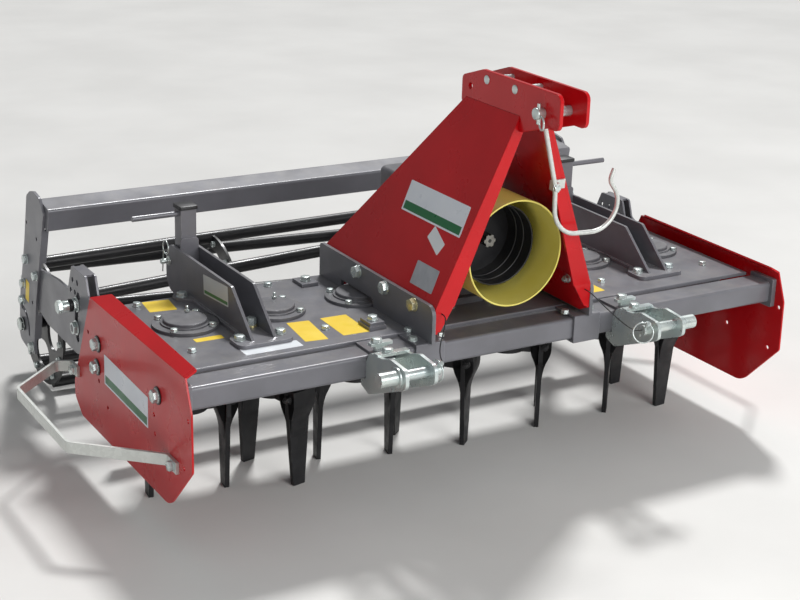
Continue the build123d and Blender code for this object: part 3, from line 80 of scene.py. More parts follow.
def aim(place: Vector, axis: Sequence[float], turn: float = 0.0) -> Matrix:
    """A matrix that stands a shape made along +Z on a place, along an axis.

    Args:
        place: Where the shape's origin goes, in metres.
        axis: The direction that +Z turns to.
        turn: How far the shape is turned about its own axis, in degrees.

    Returns:
        The placing matrix.
    """
    look = Vector(axis).normalized().to_track_quat("Z", "Y").to_matrix().to_4x4()
    return Matrix.Translation(place) @ look @ Matrix.Rotation(math.radians(turn), 4, "Z")


def lift(place: Matrix, height: float) -> Matrix:
    """The same place, moved along its own +Z by a height in mm."""
    return place @ Matrix.Translation((0, 0, height * MM))


@dataclass(frozen=True)
class Datum:
    """The rotor line, read from the frame, from which every place is measured.

    Args:
        rotor_line: Y of the rotor line in the frame, in metres.
    """

    rotor_line: float

    @classmethod
    def from_frame(cls) -> Datum:
        """Reads the rotor line as the middle of the gear trough."""
        low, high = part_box("trough")
        return cls((low.y + high.y) / 2)

    def at(self, x: float, y: float, z: float) -> Vector:
        """A place in metres, from millimetres measured from the rotor line."""
        return Vector((x * MM, y * MM + self.rotor_line, z * MM))

    def upright(self, x: float, y: float, z: float, turn: float = 0.0) -> Matrix:
        """A place, in mm, on which a shape stands up, turned by some degrees."""
        return aim(self.at(x, y, z), UP, turn)

    def outward(self, side: int, x: float, y: float, z: float, turn: float = 0.0) -> Matrix:
        """A place, in mm, on one side's face at that X, looking outwards."""
        return aim(self.at(side * x, y, z), (side, 0, 0), turn)


# Colours and nodes


def linear(hex_colour: str) -> tuple[float, float, float, float]:
    """An sRGB hex colour as linear RGBA.

    Args:
        hex_colour: The colour, as a hash and six digits.

    Returns:
        Red, green, blue and full alpha, from 0 to 1.
    """
    channels = [int(hex_colour[i:i + 2], 16) / 255 for i in (1, 3, 5)]
    lit = [c / 12.92 if c <= 0.04045 else ((c + 0.055) / 1.055) ** 2.4 for c in channels]
    return (lit[0], lit[1], lit[2], 1.0)


def add_node(
    tree: Tree,
    kind: str,
    inputs: dict[Any, Any] | None = None,
    **settings: Any,
) -> bpy.types.Node:
    """Adds a node, with its settings, and its inputs set or linked.

    Args:
        tree: The node tree.
        kind: The node's type name.
        inputs: Input name or number to a value, or to an output socket to link.
        **settings: Attributes of the node.

    Returns:
        The new node.
    """
    node = tree.nodes.new(kind)
    for name, value in settings.items():
        setattr(node, name, value)
    for key, value in (inputs or {}).items():
        if isinstance(value, Socket):
            tree.links.new(value, node.inputs[key])
        else:
            node.inputs[key].default_value = value
    return node


def set_ramp(node: bpy.types.Node, stops: Sequence[tuple[float, Sequence[float]]]) -> None:
    """Sets the stops of a colour ramp.

    Args:
        node: The colour ramp's node.
        stops: Each stop's place, from 0 to 1, and its linear RGBA.
    """
    ramp = node.color_ramp
    while len(ramp.elements) < len(stops):
        ramp.elements.new(0.5)
    for element, (place, colour) in zip(ramp.elements, stops):
        element.position = place
        element.color = colour


# Finishes

PATTERN_SHIFT = (0.31, 0.17, 0.05)
BEVEL_SAMPLES = 4
# Size of the noise that breaks up the edges' wear and painted highlight
EDGE_BREAK_MM = 22
DUST_SPECK_MM = 60
DUST_COLOUR = "#9A958C"


@dataclass(frozen=True)
class Finish:
    """A surface finish that is made into one material.

    Args:
        name: The material's name, for the real material and how it is made.
        colour: Its main colour, sRGB hex.
        second: The colour it varies towards, sRGB hex.
        edge_wear_and_highlight_colour: The paler colour on the edges, sRGB hex: wear, and a painted highlight
            where light catches the rounded edges.
        metallic: Share of metal in the surface.
        roughness: Middle roughness.
        patch_mm: Size of the patches in which the colour varies.
        grain_mm: Size of the fine bumps, drawn coarser than real ones so that they show.
        grain_depth: Strength of the fine bumps.
        edge_mm: Radius to which the edges are rounded for the light.
        edge_wear_and_highlight_share: How much of the edges gets that colour, as wear and painted highlight,
            from 0 to 1.
        dust: How much pale dust lies on faces that look up, from 0 to 1.
        coat: Weight of the clear coat.
        shine: Strength of the reflection under the coat, 0.5 for most surfaces.
    """

    name: str
    colour: str
    second: str
    edge_wear_and_highlight_colour: str
    metallic: float
    roughness: float
    patch_mm: float
    grain_mm: float
    grain_depth: float
    edge_mm: float = 1.5
    edge_wear_and_highlight_share: float = 0.3
    dust: float = 0.0
    coat: float = 0.0
    shine: float = 0.5

    def material(self) -> bpy.types.Material:
        """The finish's material, made on first use."""
        return bpy.data.materials.get(self.name) or self.make()

    def make(self) -> bpy.types.Material:
        """Makes the material's nodes.

        Returns:
            The new material.
        """
        material = bpy.data.materials.new(self.name)
        material.use_nodes = True
        tree = material.node_tree
        tree.nodes.clear()
        place = self.place(tree)
        edge = self.edge_wear_and_highlight_mask(tree, place)
        colour = self.colours(tree, place, edge)
        bump = self.relief(tree, place)
        rough = self.gloss(tree, place, edge)
        shader = add_node(tree, "ShaderNodeBsdfPrincipled", {
            "Base Color": colour,
            "Metallic": self.metallic,
            "Roughness": rough,
            "Specular IOR Level": self.shine,
            "Coat Weight": self.coat,
            "Coat Roughness": 0.12,
            "Normal": bump,
        })
        add_node(tree, "ShaderNodeOutputMaterial", {"Surface": shader.outputs["BSDF"]})
        return material

    def place(self, tree: Tree) -> Socket:
        """The place on the object that the patterns follow.

        Args:
            tree: The node tree.

        Returns:
            The place's socket, in metres.
        """
        where = add_node(tree, "ShaderNodeTexCoord")
        moved = add_node(tree, "ShaderNodeMapping", {
            "Vector": where.outputs["Object"],
            "Location": PATTERN_SHIFT,
        })
        return moved.outputs["Vector"]

    def edge_wear_and_highlight_mask(self, tree: Tree, place: Socket) -> Socket:
        """A mask of the edges that get the paler edge colour, as wear and as a painted highlight: the rounded
        normal's lean, broken up by noise.

        Args:
            tree: The node tree.
            place: The pattern place socket.

        Returns:
            A socket that is 1 on the edges that get the wear and painted highlight colour, and 0 elsewhere.
        """
        rounded = add_node(tree, "ShaderNodeBevel", {"Radius": self.edge_mm * MM}, samples=BEVEL_SAMPLES)
        flat = add_node(tree, "ShaderNodeNewGeometry")
        lean = add_node(tree, "ShaderNodeVectorMath", {
            0: rounded.outputs["Normal"],
            1: flat.outputs["Normal"],
        }, operation="DOT_PRODUCT")
        near = add_node(tree, "ShaderNodeMapRange", {
            "Value": lean.outputs["Value"],
            "From Min": 0.99,
            "From Max": 0.86,
        })
        broken = add_node(tree, "ShaderNodeTexNoise", {
            "Vector": place,
            "Scale": 1 / (EDGE_BREAK_MM * MM),
            "Detail": 4.0,
        })
        edge_breaks = add_node(tree, "ShaderNodeMapRange", {
            "Value": broken.outputs["Fac"],
            "From Min": 0.62 - 0.3 * self.edge_wear_and_highlight_share,
            "From Max": 0.72 - 0.2 * self.edge_wear_and_highlight_share,
        })
        return add_node(tree, "ShaderNodeMath", {
            0: near.outputs["Result"],
            1: edge_breaks.outputs["Result"],
        }, operation="MULTIPLY", use_clamp=True).outputs["Value"]

    def colours(self, tree: Tree, place: Socket, edge: Socket) -> Socket:
        """The colour: two tones in soft patches, dust on top, and edges paler with wear and a painted
        highlight.

        Args:
            tree: The node tree.
            place: The pattern place socket.
            edge: The mask of edge wear and painted highlight.

        Returns:
            The colour socket.
        """
        patches = add_node(tree, "ShaderNodeTexNoise", {
            "Vector": place,
            "Scale": 1 / (self.patch_mm * MM),
            "Detail": 5.0,
            "Roughness": 0.55,
        })
        soft = add_node(tree, "ShaderNodeValToRGB", {"Fac": patches.outputs["Fac"]})
        set_ramp(soft, [(0.35, linear(self.colour)), (0.7, linear(self.second))])
        out = soft.outputs["Color"]
        if self.dust:
            out = self.dusted(tree, place, out)
        # The edges get the paler colour: wear, and a painted highlight of light on the rounded edges
        return add_node(tree, "ShaderNodeMixRGB", {
            "Fac": edge,
            "Color1": out,
            "Color2": linear(self.edge_wear_and_highlight_colour),
        }).outputs["Color"]

    def dusted(self, tree: Tree, place: Socket, colour: Socket) -> Socket:
        """The colour with specks of dust on the faces that look up.

        Args:
            tree: The node tree.
            place: The pattern place socket.
            colour: The clean colour.

        Returns:
            The colour socket.
        """
        surface = add_node(tree, "ShaderNodeNewGeometry")
        facing = add_node(tree, "ShaderNodeSeparateXYZ", {"Vector": surface.outputs["Normal"]})
        level = add_node(tree, "ShaderNodeMapRange", {
            "Value": facing.outputs["Z"],
            "From Min": 0.55,
            "From Max": 1.0,
        })
        specks = add_node(tree, "ShaderNodeTexNoise", {
            "Vector": place,
            "Scale": 1 / (DUST_SPECK_MM * MM),
            "Detail": 8.0,
            "Roughness": 0.7,
        })
        spread = add_node(tree, "ShaderNodeMapRange", {
            "Value": specks.outputs["Fac"],
            "From Min": 0.42,
            "From Max": 0.75,
            "To Max": self.dust,
        })
        share = add_node(tree, "ShaderNodeMath", {
            0: level.outputs["Result"],
            1: spread.outputs["Result"],
        }, operation="MULTIPLY")
        return add_node(tree, "ShaderNodeMixRGB", {
            "Fac": share.outputs["Value"],
            "Color1": colour,
            "Color2": linear(DUST_COLOUR),
        }).outputs["Color"]

    def relief(self, tree: Tree, place: Socket) -> Socket:
        """The fine bumps, on a normal that is rounded at the edges.

        Args:
            tree: The node tree.
            place: The pattern place socket.

        Returns:
            The normal socket.
        """
        rounded = add_node(tree, "ShaderNodeBevel", {"Radius": self.edge_mm * MM}, samples=BEVEL_SAMPLES)
        grain = add_node(tree, "ShaderNodeTexNoise", {
            "Vector": place,
            "Scale": 1 / (self.grain_mm * MM),
            "Detail": 2.0,
        })
        return add_node(tree, "ShaderNodeBump", {
            "Strength": self.grain_depth,
            "Distance": self.grain_mm * MM * 0.15,
            "Height": grain.outputs["Fac"],
            "Normal": rounded.outputs["Normal"],
        }).outputs["Normal"]

    def gloss(self, tree: Tree, place: Socket, edge: Socket) -> Socket:
        """Roughness that varies a little and is lower on the edges under the wear and painted highlight mask.

        Args:
            tree: The node tree.
            place: The pattern place socket.
            edge: The mask of edge wear and painted highlight.

        Returns:
            The roughness socket.
        """
        smear = add_node(tree, "ShaderNodeTexNoise", {
            "Vector": place,
            "Scale": 1 / (self.patch_mm * MM * 0.6),
            "Detail": 4.0,
        })
        spread = add_node(tree, "ShaderNodeMapRange", {
            "Value": smear.outputs["Fac"],
            "From Min": 0.3,
            "From Max": 0.7,
            "To Min": self.roughness * 0.82,
            "To Max": min(1.0, self.roughness * 1.22),
        })
        return add_node(tree, "ShaderNodeMath", {
            0: edge,
            1: -0.12,
            2: spread.outputs["Result"],
        }, operation="MULTIPLY_ADD", use_clamp=True).outputs["Value"]


@dataclass(frozen=True)
class Galvanised(Finish):
    """Hot-dip galvanised steel, whose zinc crystals show as pale flat patches."""

    def colours(self, tree: Tree, place: Socket, edge: Socket) -> Socket:
        """The colour: crystals of two greys, each of one tone.

        Args:
            tree: The node tree.
            place: The pattern place socket.
            edge: The mask of edge wear and painted highlight.

        Returns:
            The colour socket.
        """
        crystals = add_node(tree, "ShaderNodeTexVoronoi", {
            "Vector": place,
            "Scale": 1 / (self.patch_mm * MM),
        })
        tone = add_node(tree, "ShaderNodeSeparateColor", {"Color": crystals.outputs["Color"]})
        ramp = add_node(tree, "ShaderNodeValToRGB", {"Fac": tone.outputs["Red"]})
        set_ramp(ramp, [(0.2, linear(self.colour)), (0.8, linear(self.second))])
        # The edges get the paler colour: wear, and a painted highlight of light on the rounded edges
        return add_node(tree, "ShaderNodeMixRGB", {
            "Fac": edge,
            "Color1": ramp.outputs["Color"],
            "Color2": linear(self.edge_wear_and_highlight_colour),
        }).outputs["Color"]


@dataclass(frozen=True)
class Film(Finish):
    """Printed vinyl film: thin, smooth and without wear."""

    metallic: float = 0.0
    roughness: float = 0.35
    patch_mm: float = 60
    grain_mm: float = 5
    grain_depth: float = 0.03
    edge_mm: float = 0.2
    edge_wear_and_highlight_share: float = 0.0


@dataclass(frozen=True, kw_only=True)
class BandedFilm(Film):
    """Printed vinyl film with a rim and a band along its lower edge.

    The band follows the film's own UV map, where V runs from 0 at the lower
    edge to 1 at the upper one.

    Args:
        band: The band's colour, sRGB hex.
        band_top: Where the band ends, as a share of the film's height.
        rim: Width of the plain rim, as a share of the film's height.
    """

    band: str
    band_top: float
    rim: float

    def colours(self, tree: Tree, place: Socket, edge: Socket) -> Socket:
        """The colour: the film's ground, and the band inside the rim.

        Args:
            tree: The node tree.
            place: The pattern place socket.
            edge: The mask of edge wear and painted highlight.

        Returns:
            The colour socket.
        """
        ground = super().colours(tree, place, edge)
        chart = add_node(tree, "ShaderNodeUVMap")
        where = add_node(tree, "ShaderNodeSeparateXYZ", {"Vector": chart.outputs["UV"]})
        side_rim = self.rim * 0.35
        masks = []
        for socket, low, high in (
            (where.outputs["Y"], self.rim, self.band_top),
            (where.outputs["X"], side_rim, 1 - side_rim),
        ):
            masks.append(add_node(tree, "ShaderNodeMath", {
                0: socket,
                1: (low + high) / 2,
                2: (high - low) / 2,
            }, operation="COMPARE").outputs["Value"])
        inside = add_node(tree, "ShaderNodeMath", {0: masks[0], 1: masks[1]}, operation="MULTIPLY")
        return add_node(tree, "ShaderNodeMixRGB", {
            "Fac": inside.outputs["Value"],
            "Color1": ground,
            "Color2": linear(self.band),
        }).outputs["Color"]


# Anthracite powder coat, baked: a dense grey skin with fine orange peel and road dust on top, and pale edges
# that are mostly a painted highlight of light on the rounded edges, with some wear
GREY_COAT = Finish(
    "powder_coated_steel_anthracite", "#68686D", "#74747A", "#ABABB0",
    metallic=0.15, roughness=0.36, patch_mm=140, grain_mm=5, grain_depth=0.10,
    edge_mm=2.2, edge_wear_and_highlight_share=0.8, dust=0.3, coat=0.12,
)
# The same coat on cast iron: coarser skin from the sand mould
CAST_COAT = Finish(
    "powder_coated_cast_iron_anthracite", "#57575B", "#66666B", "#97979B",
    metallic=0.12, roughness=0.46, patch_mm=70, grain_mm=7, grain_depth=0.30,
    edge_mm=2.5, edge_wear_and_highlight_share=0.6, dust=0.25, coat=0.05,
)
# Signal red powder coat: glossy and deep, slightly paler along its edges
RED_COAT = Finish(
    "powder_coated_sheet_red", "#B8040E", "#C60814", "#D22A2C",
    metallic=0.0, roughness=0.30, patch_mm=180, grain_mm=6, grain_depth=0.05,
    edge_mm=1.8, edge_wear_and_highlight_share=0.15, coat=0.3, shine=0.2,
)
# Black enamel on the roller, sprayed: satin, with soft long highlights and dust on the upper side
BLACK_ENAMEL = Finish(
    "sprayed_enamel_black", "#111113", "#1A1A1D", "#4A4A4C",
    metallic=0.0, roughness=0.40, patch_mm=90, grain_mm=6, grain_depth=0.12,
    edge_wear_and_highlight_share=0.2, dust=0.06, coat=0.12,
)
# Forged boron steel tines, dipped black: matt scale with bare steel at the edges
DIPPED_TINE = Finish(
    "forged_boron_steel_dipped_black", "#1B1B1D", "#29292B", "#6D6A66",
    metallic=0.3, roughness=0.52, patch_mm=45, grain_mm=5, grain_depth=0.35,
    edge_mm=1.4, edge_wear_and_highlight_share=0.45, dust=0.05,
)
# Hot-dip galvanised flat bar and rod: pale zinc crystals, soft shine
ZINC_DIP = Galvanised(
    "hot_dip_galvanised_steel", "#C9CCC8", "#D1D4D0", "#E6E8E6",
    metallic=0.6, roughness=0.42, patch_mm=9, grain_mm=6, grain_depth=0.10, edge_mm=1.2,
)
# Electroplated zinc with clear passivation: bright and cold, with a faint green cast in patches
ZINC_PLATE = Finish(
    "zinc_electroplated_steel", "#C3CECE", "#D4DBD6", "#EEF1F0",
    metallic=0.72, roughness=0.28, patch_mm=75, grain_mm=4, grain_depth=0.06, edge_mm=1.4, edge_wear_and_highlight_share=0.5,
)
# Yellow chromate over zinc on a few bolts and plug seats: pale straw, bright
YELLOW_CHROMATE = Finish(
    "yellow_chromated_steel", "#CFC389", "#C3BFA6", "#E4E0CC",
    metallic=0.75, roughness=0.30, patch_mm=14, grain_mm=4, grain_depth=0.10, edge_mm=0.8,
)
# Moulded polyethylene guard, olive yellow: satin with a waxy skin
YELLOW_GUARD = Finish(
    "moulded_polyethylene_yellow", "#DCCF62", "#E3D774", "#EEE6A4",
    metallic=0.0, roughness=0.42, patch_mm=90, grain_mm=5, grain_depth=0.18, edge_wear_and_highlight_share=0.15, dust=0.03,
)
# Moulded black polyethylene of the lining, caps and seals: dull black
BLACK_LINING = Finish(
    "moulded_polyethylene_black", "#17171A", "#202023", "#3A3A3D",
    metallic=0.0, roughness=0.40, patch_mm=60, grain_mm=5, grain_depth=0.15,
    edge_mm=1.2, edge_wear_and_highlight_share=0.15, dust=0.05,
)
# Turned steel of the splined stub, oiled against rust: mid grey with a soft metal sheen
OILED_STEEL = Finish(
    "turned_steel_oiled", "#7B7976", "#8E8C87", "#B4B2AE",
    metallic=1.0, roughness=0.34, patch_mm=18, grain_mm=3, grain_depth=0.12, edge_mm=0.6,
)
# Blank vinyl film in warning yellow: even, with a slight gloss
YELLOW_FILM = Film("vinyl_film_yellow", "#F2CE33", "#F5D540", "#F8E27A")
# Blank white vinyl film, as even as the yellow one
WHITE_FILM = Film("vinyl_film_white", "#DDE2E6", "#E6EAED", "#F2F4F5")
# White vinyl film with a green band along its lower edge
BANDED_FILM = BandedFilm(
    "vinyl_film_white_green_band", "#DCE2EA", "#E4E9EF", "#F2F4F5",
    roughness=0.32, band="#11693A", band_top=0.33, rim=0.06,
)
# Pale vinyl film with a green stripe along its lower edge
STRIPED_FILM = BandedFilm(
    "vinyl_film_pale_green_stripe", "#C9CDCB", "#D3D6D2", "#F2F4F5",
    roughness=0.32, band="#2D7A3F", band_top=0.24, rim=0.08,
)
# Blank rating plate of anodised aluminium: dull silver grey
ANODISED_PLATE = Finish(
    "anodised_aluminium_plate", "#A9ADB4", "#B6BAC0", "#D2D5D9",
    metallic=0.35, roughness=0.40, patch_mm=25, grain_mm=3, grain_depth=0.12, edge_mm=0.4, edge_wear_and_highlight_share=0.2,
)
# Braided nylon lanyard, black: dull, with a fine rough skin
NYLON_CORD = Finish(
    "braided_nylon_black", "#141416", "#1E1E20", "#2A2A2C",
    metallic=0.0, roughness=0.55, patch_mm=8, grain_mm=1.5, grain_depth=0.5, edge_mm=0.2, edge_wear_and_highlight_share=0.0,
)


# Fasteners

HEX_SIDES = 6
WASHER_THICKNESS = 2.0
THREAD_SHARE = 0.32
HEAD_RIM_SHARE = 0.06


@dataclass(frozen=True)
class Fastener:
    """A hexagon head or nut with its washer and the thread that stands past it.

    Args:
        across: Width across flats, in mm.
        height: Height of the head, in mm.
        washer: Outer radius of the washer, in mm.
        stud: Length of thread past the head, in mm.
    """

    across: float
    height: float
    washer: float
    stud: float = 0.0


M10_BOLT = Fastener(across=17, height=7, washer=10)
M12_BOLT = Fastener(across=19, height=8, washer=12)
M12_NUT = Fastener(across=19, height=10, washer=12, stud=6)
M16_BOLT = Fastener(across=24, height=10, washer=15)
M20_BOLT = Fastener(across=30, height=13, washer=18.5)
M22_NUT = Fastener(across=32, height=11, washer=21)
AXLE_NUT = Fastener(across=36, height=8, washer=22)


@dataclass(frozen=True)
class Step:
    """One step of a turned part, such as a neck, a collar or a head.

    Args:
        start: Where it begins along the part's axis, in mm.
        radius: Its radius, in mm.
        height: Its length along the axis, in mm.
        sides: How many sides it has.
        rim: Rounding of its top edge, in mm.
    """

    start: float
    radius: float
    height: float
    sides: int
    rim: float


# Meshes


def top_edges(part: bmesh.types.BMesh, height: float) -> list[bmesh.types.BMEdge]:
    """The edges of the top face of a shape of that height, in mm."""
    level = height * MM * 0.999
    return [e for e in part.edges if all(v.co.z > level for v in e.verts)]


def upright_edges(part: bmesh.types.BMesh, least: float) -> list[bmesh.types.BMEdge]:
    """The edges that climb by more than the least height, in mm."""
    return [e for e in part.edges if abs(e.verts[0].co.z - e.verts[1].co.z) > least * MM]


def round_edges(
    part: bmesh.types.BMesh,
    edges: list[bmesh.types.BMEdge],
    radius: float,
    segments: int = 2,
) -> None:
    """Rounds some of a shape's edges.

    Args:
        part: The shape.
        edges: Which of its edges.
        radius: The rounding, in mm.
        segments: How many faces make the rounding.
    """
    bmesh.ops.bevel(
        part, geom=edges, offset=radius * MM, segments=segments, profile=0.5, material=-1, affect="EDGES"
    )


class Shape:
    """A mesh that grows from operator-made parts and ends as one piece.

    Args:
        name: The piece's name.
    """

    def __init__(self, name: str) -> None:
        """Starts an empty mesh."""
        self.name = name
        self.mesh = bmesh.new()

    def join(self, part: bmesh.types.BMesh, place: Matrix) -> None:
        """Moves a finished part to its place and adds it to the piece.

        Args:
            part: The part, which is used up.
            place: Where it goes.
        """
        bmesh.ops.transform(part, matrix=place, verts=part.verts[:])
        bmesh.ops.recalc_face_normals(part, faces=part.faces[:])
        held = bpy.data.meshes.new("held")
        part.to_mesh(held)
        part.free()
        self.mesh.from_mesh(held)
        bpy.data.meshes.remove(held)

    def disc(self, place: Matrix, radius: float, height: float, sides: int = 32, rim: float = 0.0) -> None:
        """Adds a disc, drum or prism that stands on its place.

        Args:
            place: Where it stands, along its own +Z.
            radius: Its radius, in mm.
            height: Its height, in mm.
            sides: How many sides it has.
            rim: Radius of the rounding of its top edge, in mm.
        """
        part = bmesh.new()
        bmesh.ops.create_cone(
            part,
            cap_ends=True,
            segments=sides,
            radius1=radius * MM,
            radius2=radius * MM,
            depth=height * MM,
            matrix=Matrix.Translation((0, 0, height * MM / 2)),
        )
        if rim:
            round_edges(part, top_edges(part, height), rim)
        self.join(part, place)

    def turned(self, place: Matrix, steps: Sequence[Step]) -> None:
        """Adds a turned part, step by step along its place's +Z."""
        for step in steps:
            self.disc(lift(place, step.start), step.radius, step.height, step.sides, step.rim)

    def fastener(self, place: Matrix, kind: Fastener) -> None:
        """Adds a bolt head or nut with its washer and stud.

        Args:
            place: Where the washer lies, looking along its own +Z.
            kind: The fastener's sizes.
        """
        self.disc(place, kind.washer, WASHER_THICKNESS, sides=28, rim=0.4)
        seat = lift(place, WASHER_THICKNESS)
        self.disc(seat, kind.across / math.sqrt(3), kind.height, HEX_SIDES, kind.across * HEAD_RIM_SHARE)
        if kind.stud:
            self.disc(seat, kind.across * THREAD_SHARE, kind.height + kind.stud, sides=16, rim=1.0)

    def ring(self, place: Matrix, radius: float, wire: float, steps: int = 40) -> None:
        """Adds a ring of round wire about its place's +Z.

        Args:
            place: The ring's centre and axis.
            radius: Radius to the middle of the wire, in mm.
            wire: The wire's diameter, in mm.
            steps: How many steps the circle has.
        """
        part = bmesh.new()
        section = Matrix.Translation((radius * MM, 0, 0)) @ Matrix.Rotation(math.radians(90), 4, "X")
        bmesh.ops.create_circle(part, cap_ends=False, segments=12, radius=wire * MM / 2, matrix=section)
        bmesh.ops.spin(
            part,
            geom=part.verts[:] + part.edges[:],
            cent=(0, 0, 0),
            axis=UP,
            angle=math.tau,
            steps=steps,
            use_merge=True,
        )
        bmesh.ops.remove_doubles(part, verts=part.verts[:], dist=1e-6)
        self.join(part, place)

    def taper(self, place: Matrix, stations: Sequence[Point], rounding: float) -> None:
        """Adds a bar that runs down its place's Z and changes width as it goes.

        Args:
            place: The axis that the bar follows.
            stations: Height, width along X and depth along Y of each section, from the top, in mm.
            rounding: Rounding of its long edges, in mm.
        """
        part = bmesh.new()
        bmesh.ops.create_grid(part, x_segments=1, y_segments=1, size=0.5)
        height, width, depth = (value * MM for value in stations[0])
        bmesh.ops.scale(part, vec=(width, depth, 1), verts=part.verts[:])
        bmesh.ops.translate(part, vec=(0, 0, height), verts=part.verts[:])
        face = part.faces[:][0]
        for station in stations[1:]:
            next_height, next_width, next_depth = (value * MM for value in station)
            grown = bmesh.ops.extrude_face_region(part, geom=[face])["geom"]
            corners = [item for item in grown if isinstance(item, bmesh.types.BMVert)]
            face = next(item for item in grown if isinstance(item, bmesh.types.BMFace))
            bmesh.ops.scale(part, vec=(next_width / width, next_depth / depth, 1), verts=corners)
            bmesh.ops.translate(part, vec=(0, 0, next_height - height), verts=corners)
            height, width, depth = next_height, next_width, next_depth
        bmesh.ops.holes_fill(part, edges=part.edges[:], sides=4)
        round_edges(part, upright_edges(part, 0.5), rounding)
        self.join(part, place)

    def slab(self, place: Matrix, size: Point, corner: float, rim: float = 0.0) -> None:
        """Adds a plate that stands on its place, with rounded corners and rim.

        Args:
            place: The middle of its underside.
            size: Its size along the place's X and Y, and its thickness, in mm.
            corner: Radius of its upright corners, in mm.
            rim: Rounding of its top edge, in mm.
        """
        width, depth, height = size
        scale = Matrix.Diagonal((width * MM, depth * MM, height * MM, 1))
        part = bmesh.new()
        bmesh.ops.create_cube(part, size=1.0)
        bmesh.ops.transform(
            part, matrix=Matrix.Translation((0, 0, height * MM / 2)) @ scale, verts=part.verts[:]
        )
        round_edges(part, upright_edges(part, height / 2), corner, segments=5)
        if rim:
            round_edges(part, top_edges(part, height), rim)
        self.join(part, place)

    def piece(self, finish: Finish, body: str) -> bpy.types.Object:
        """Ends the mesh as an object with its finish, riding on a body.

        Args:
            finish: The finish it gets.
            body: The CAD body it rides on.

        Returns:
            The finished object.
        """
        data = bpy.data.meshes.new(self.name)
        self.mesh.to_mesh(data)
        self.mesh.free()
        data.polygons.foreach_set("use_smooth", [True] * len(data.polygons))
        data.set_sharp_from_angle(angle=math.radians(32))
        data.materials.append(finish.material())
        thing = bpy.data.objects.new(self.name, data)
        bpy.context.scene.collection.objects.link(thing)
        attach(thing, body)
        log.info("%s: %d faces on %s", self.name, len(data.polygons), body)
        return thing


# The frame's nodes by name, which main fills
NODES: dict[str, bpy.types.Object] = {}


def dress(finish: Finish, *nodes: str) -> None:
    """Gives CAD nodes their finish.

    Args:
        finish: The finish.
        *nodes: The nodes' names.
    """
    for node in nodes:
        data = NODES[node].data
        data.materials.clear()
        data.materials.append(finish.material())


@dataclass(frozen=True)
class Label:
    """A thin film or plate that lies on a face.

    Args:
        name: The piece's name.
        centre: Its middle, in mm from the rotor line.
        along: The direction of its long side.
        normal: The direction that it faces.
        width: Its long side, in mm.
        height: Its short side, in mm.
        finish: Its finish.
        thickness: Its thickness, in mm.
        corner: Radius of its corners, in mm.
    """

    name: str
    centre: Point
    along: Point
    normal: Point
    width: float
    height: float
    finish: Finish
    thickness: float = 0.4
    corner: float = 3.0

    def build(self, datum: Datum, body: str = "frame") -> None:
        """Makes the film, with its UV map along its sides.

        Args:
            datum: Where places are measured from.
            body: The CAD body it rides on.
        """
        up = Vector(self.normal).normalized()
        across = (Vector(self.along) - up * Vector(self.along).dot(up)).normalized()
        side = up.cross(across)
        turn = Matrix((across, side, up)).transposed().to_4x4()
        place = Matrix.Translation(datum.at(*self.centre)) @ turn
        shape = Shape(self.name)
        shape.slab(place, (self.width, self.height, self.thickness), self.corner)
        data = shape.piece(self.finish, body).data
        chart = data.uv_layers.new(name="film")
        back = place.inverted()
        for loop in data.loops:
            spot = back @ data.vertices[loop.vertex_index].co
            chart.data[loop.index].uv = (
                spot.x / (self.width * MM) + 0.5,
                spot.y / (self.height * MM) + 0.5,
            )


# Sub-assemblies

LID_TOP = 466.0
ROTOR_X = [(i - 3) * 250.0 for i in range(7)]
# The gearbox stands where the middle rotor's cover would be
COVER_X = [x for x in ROTOR_X if x]


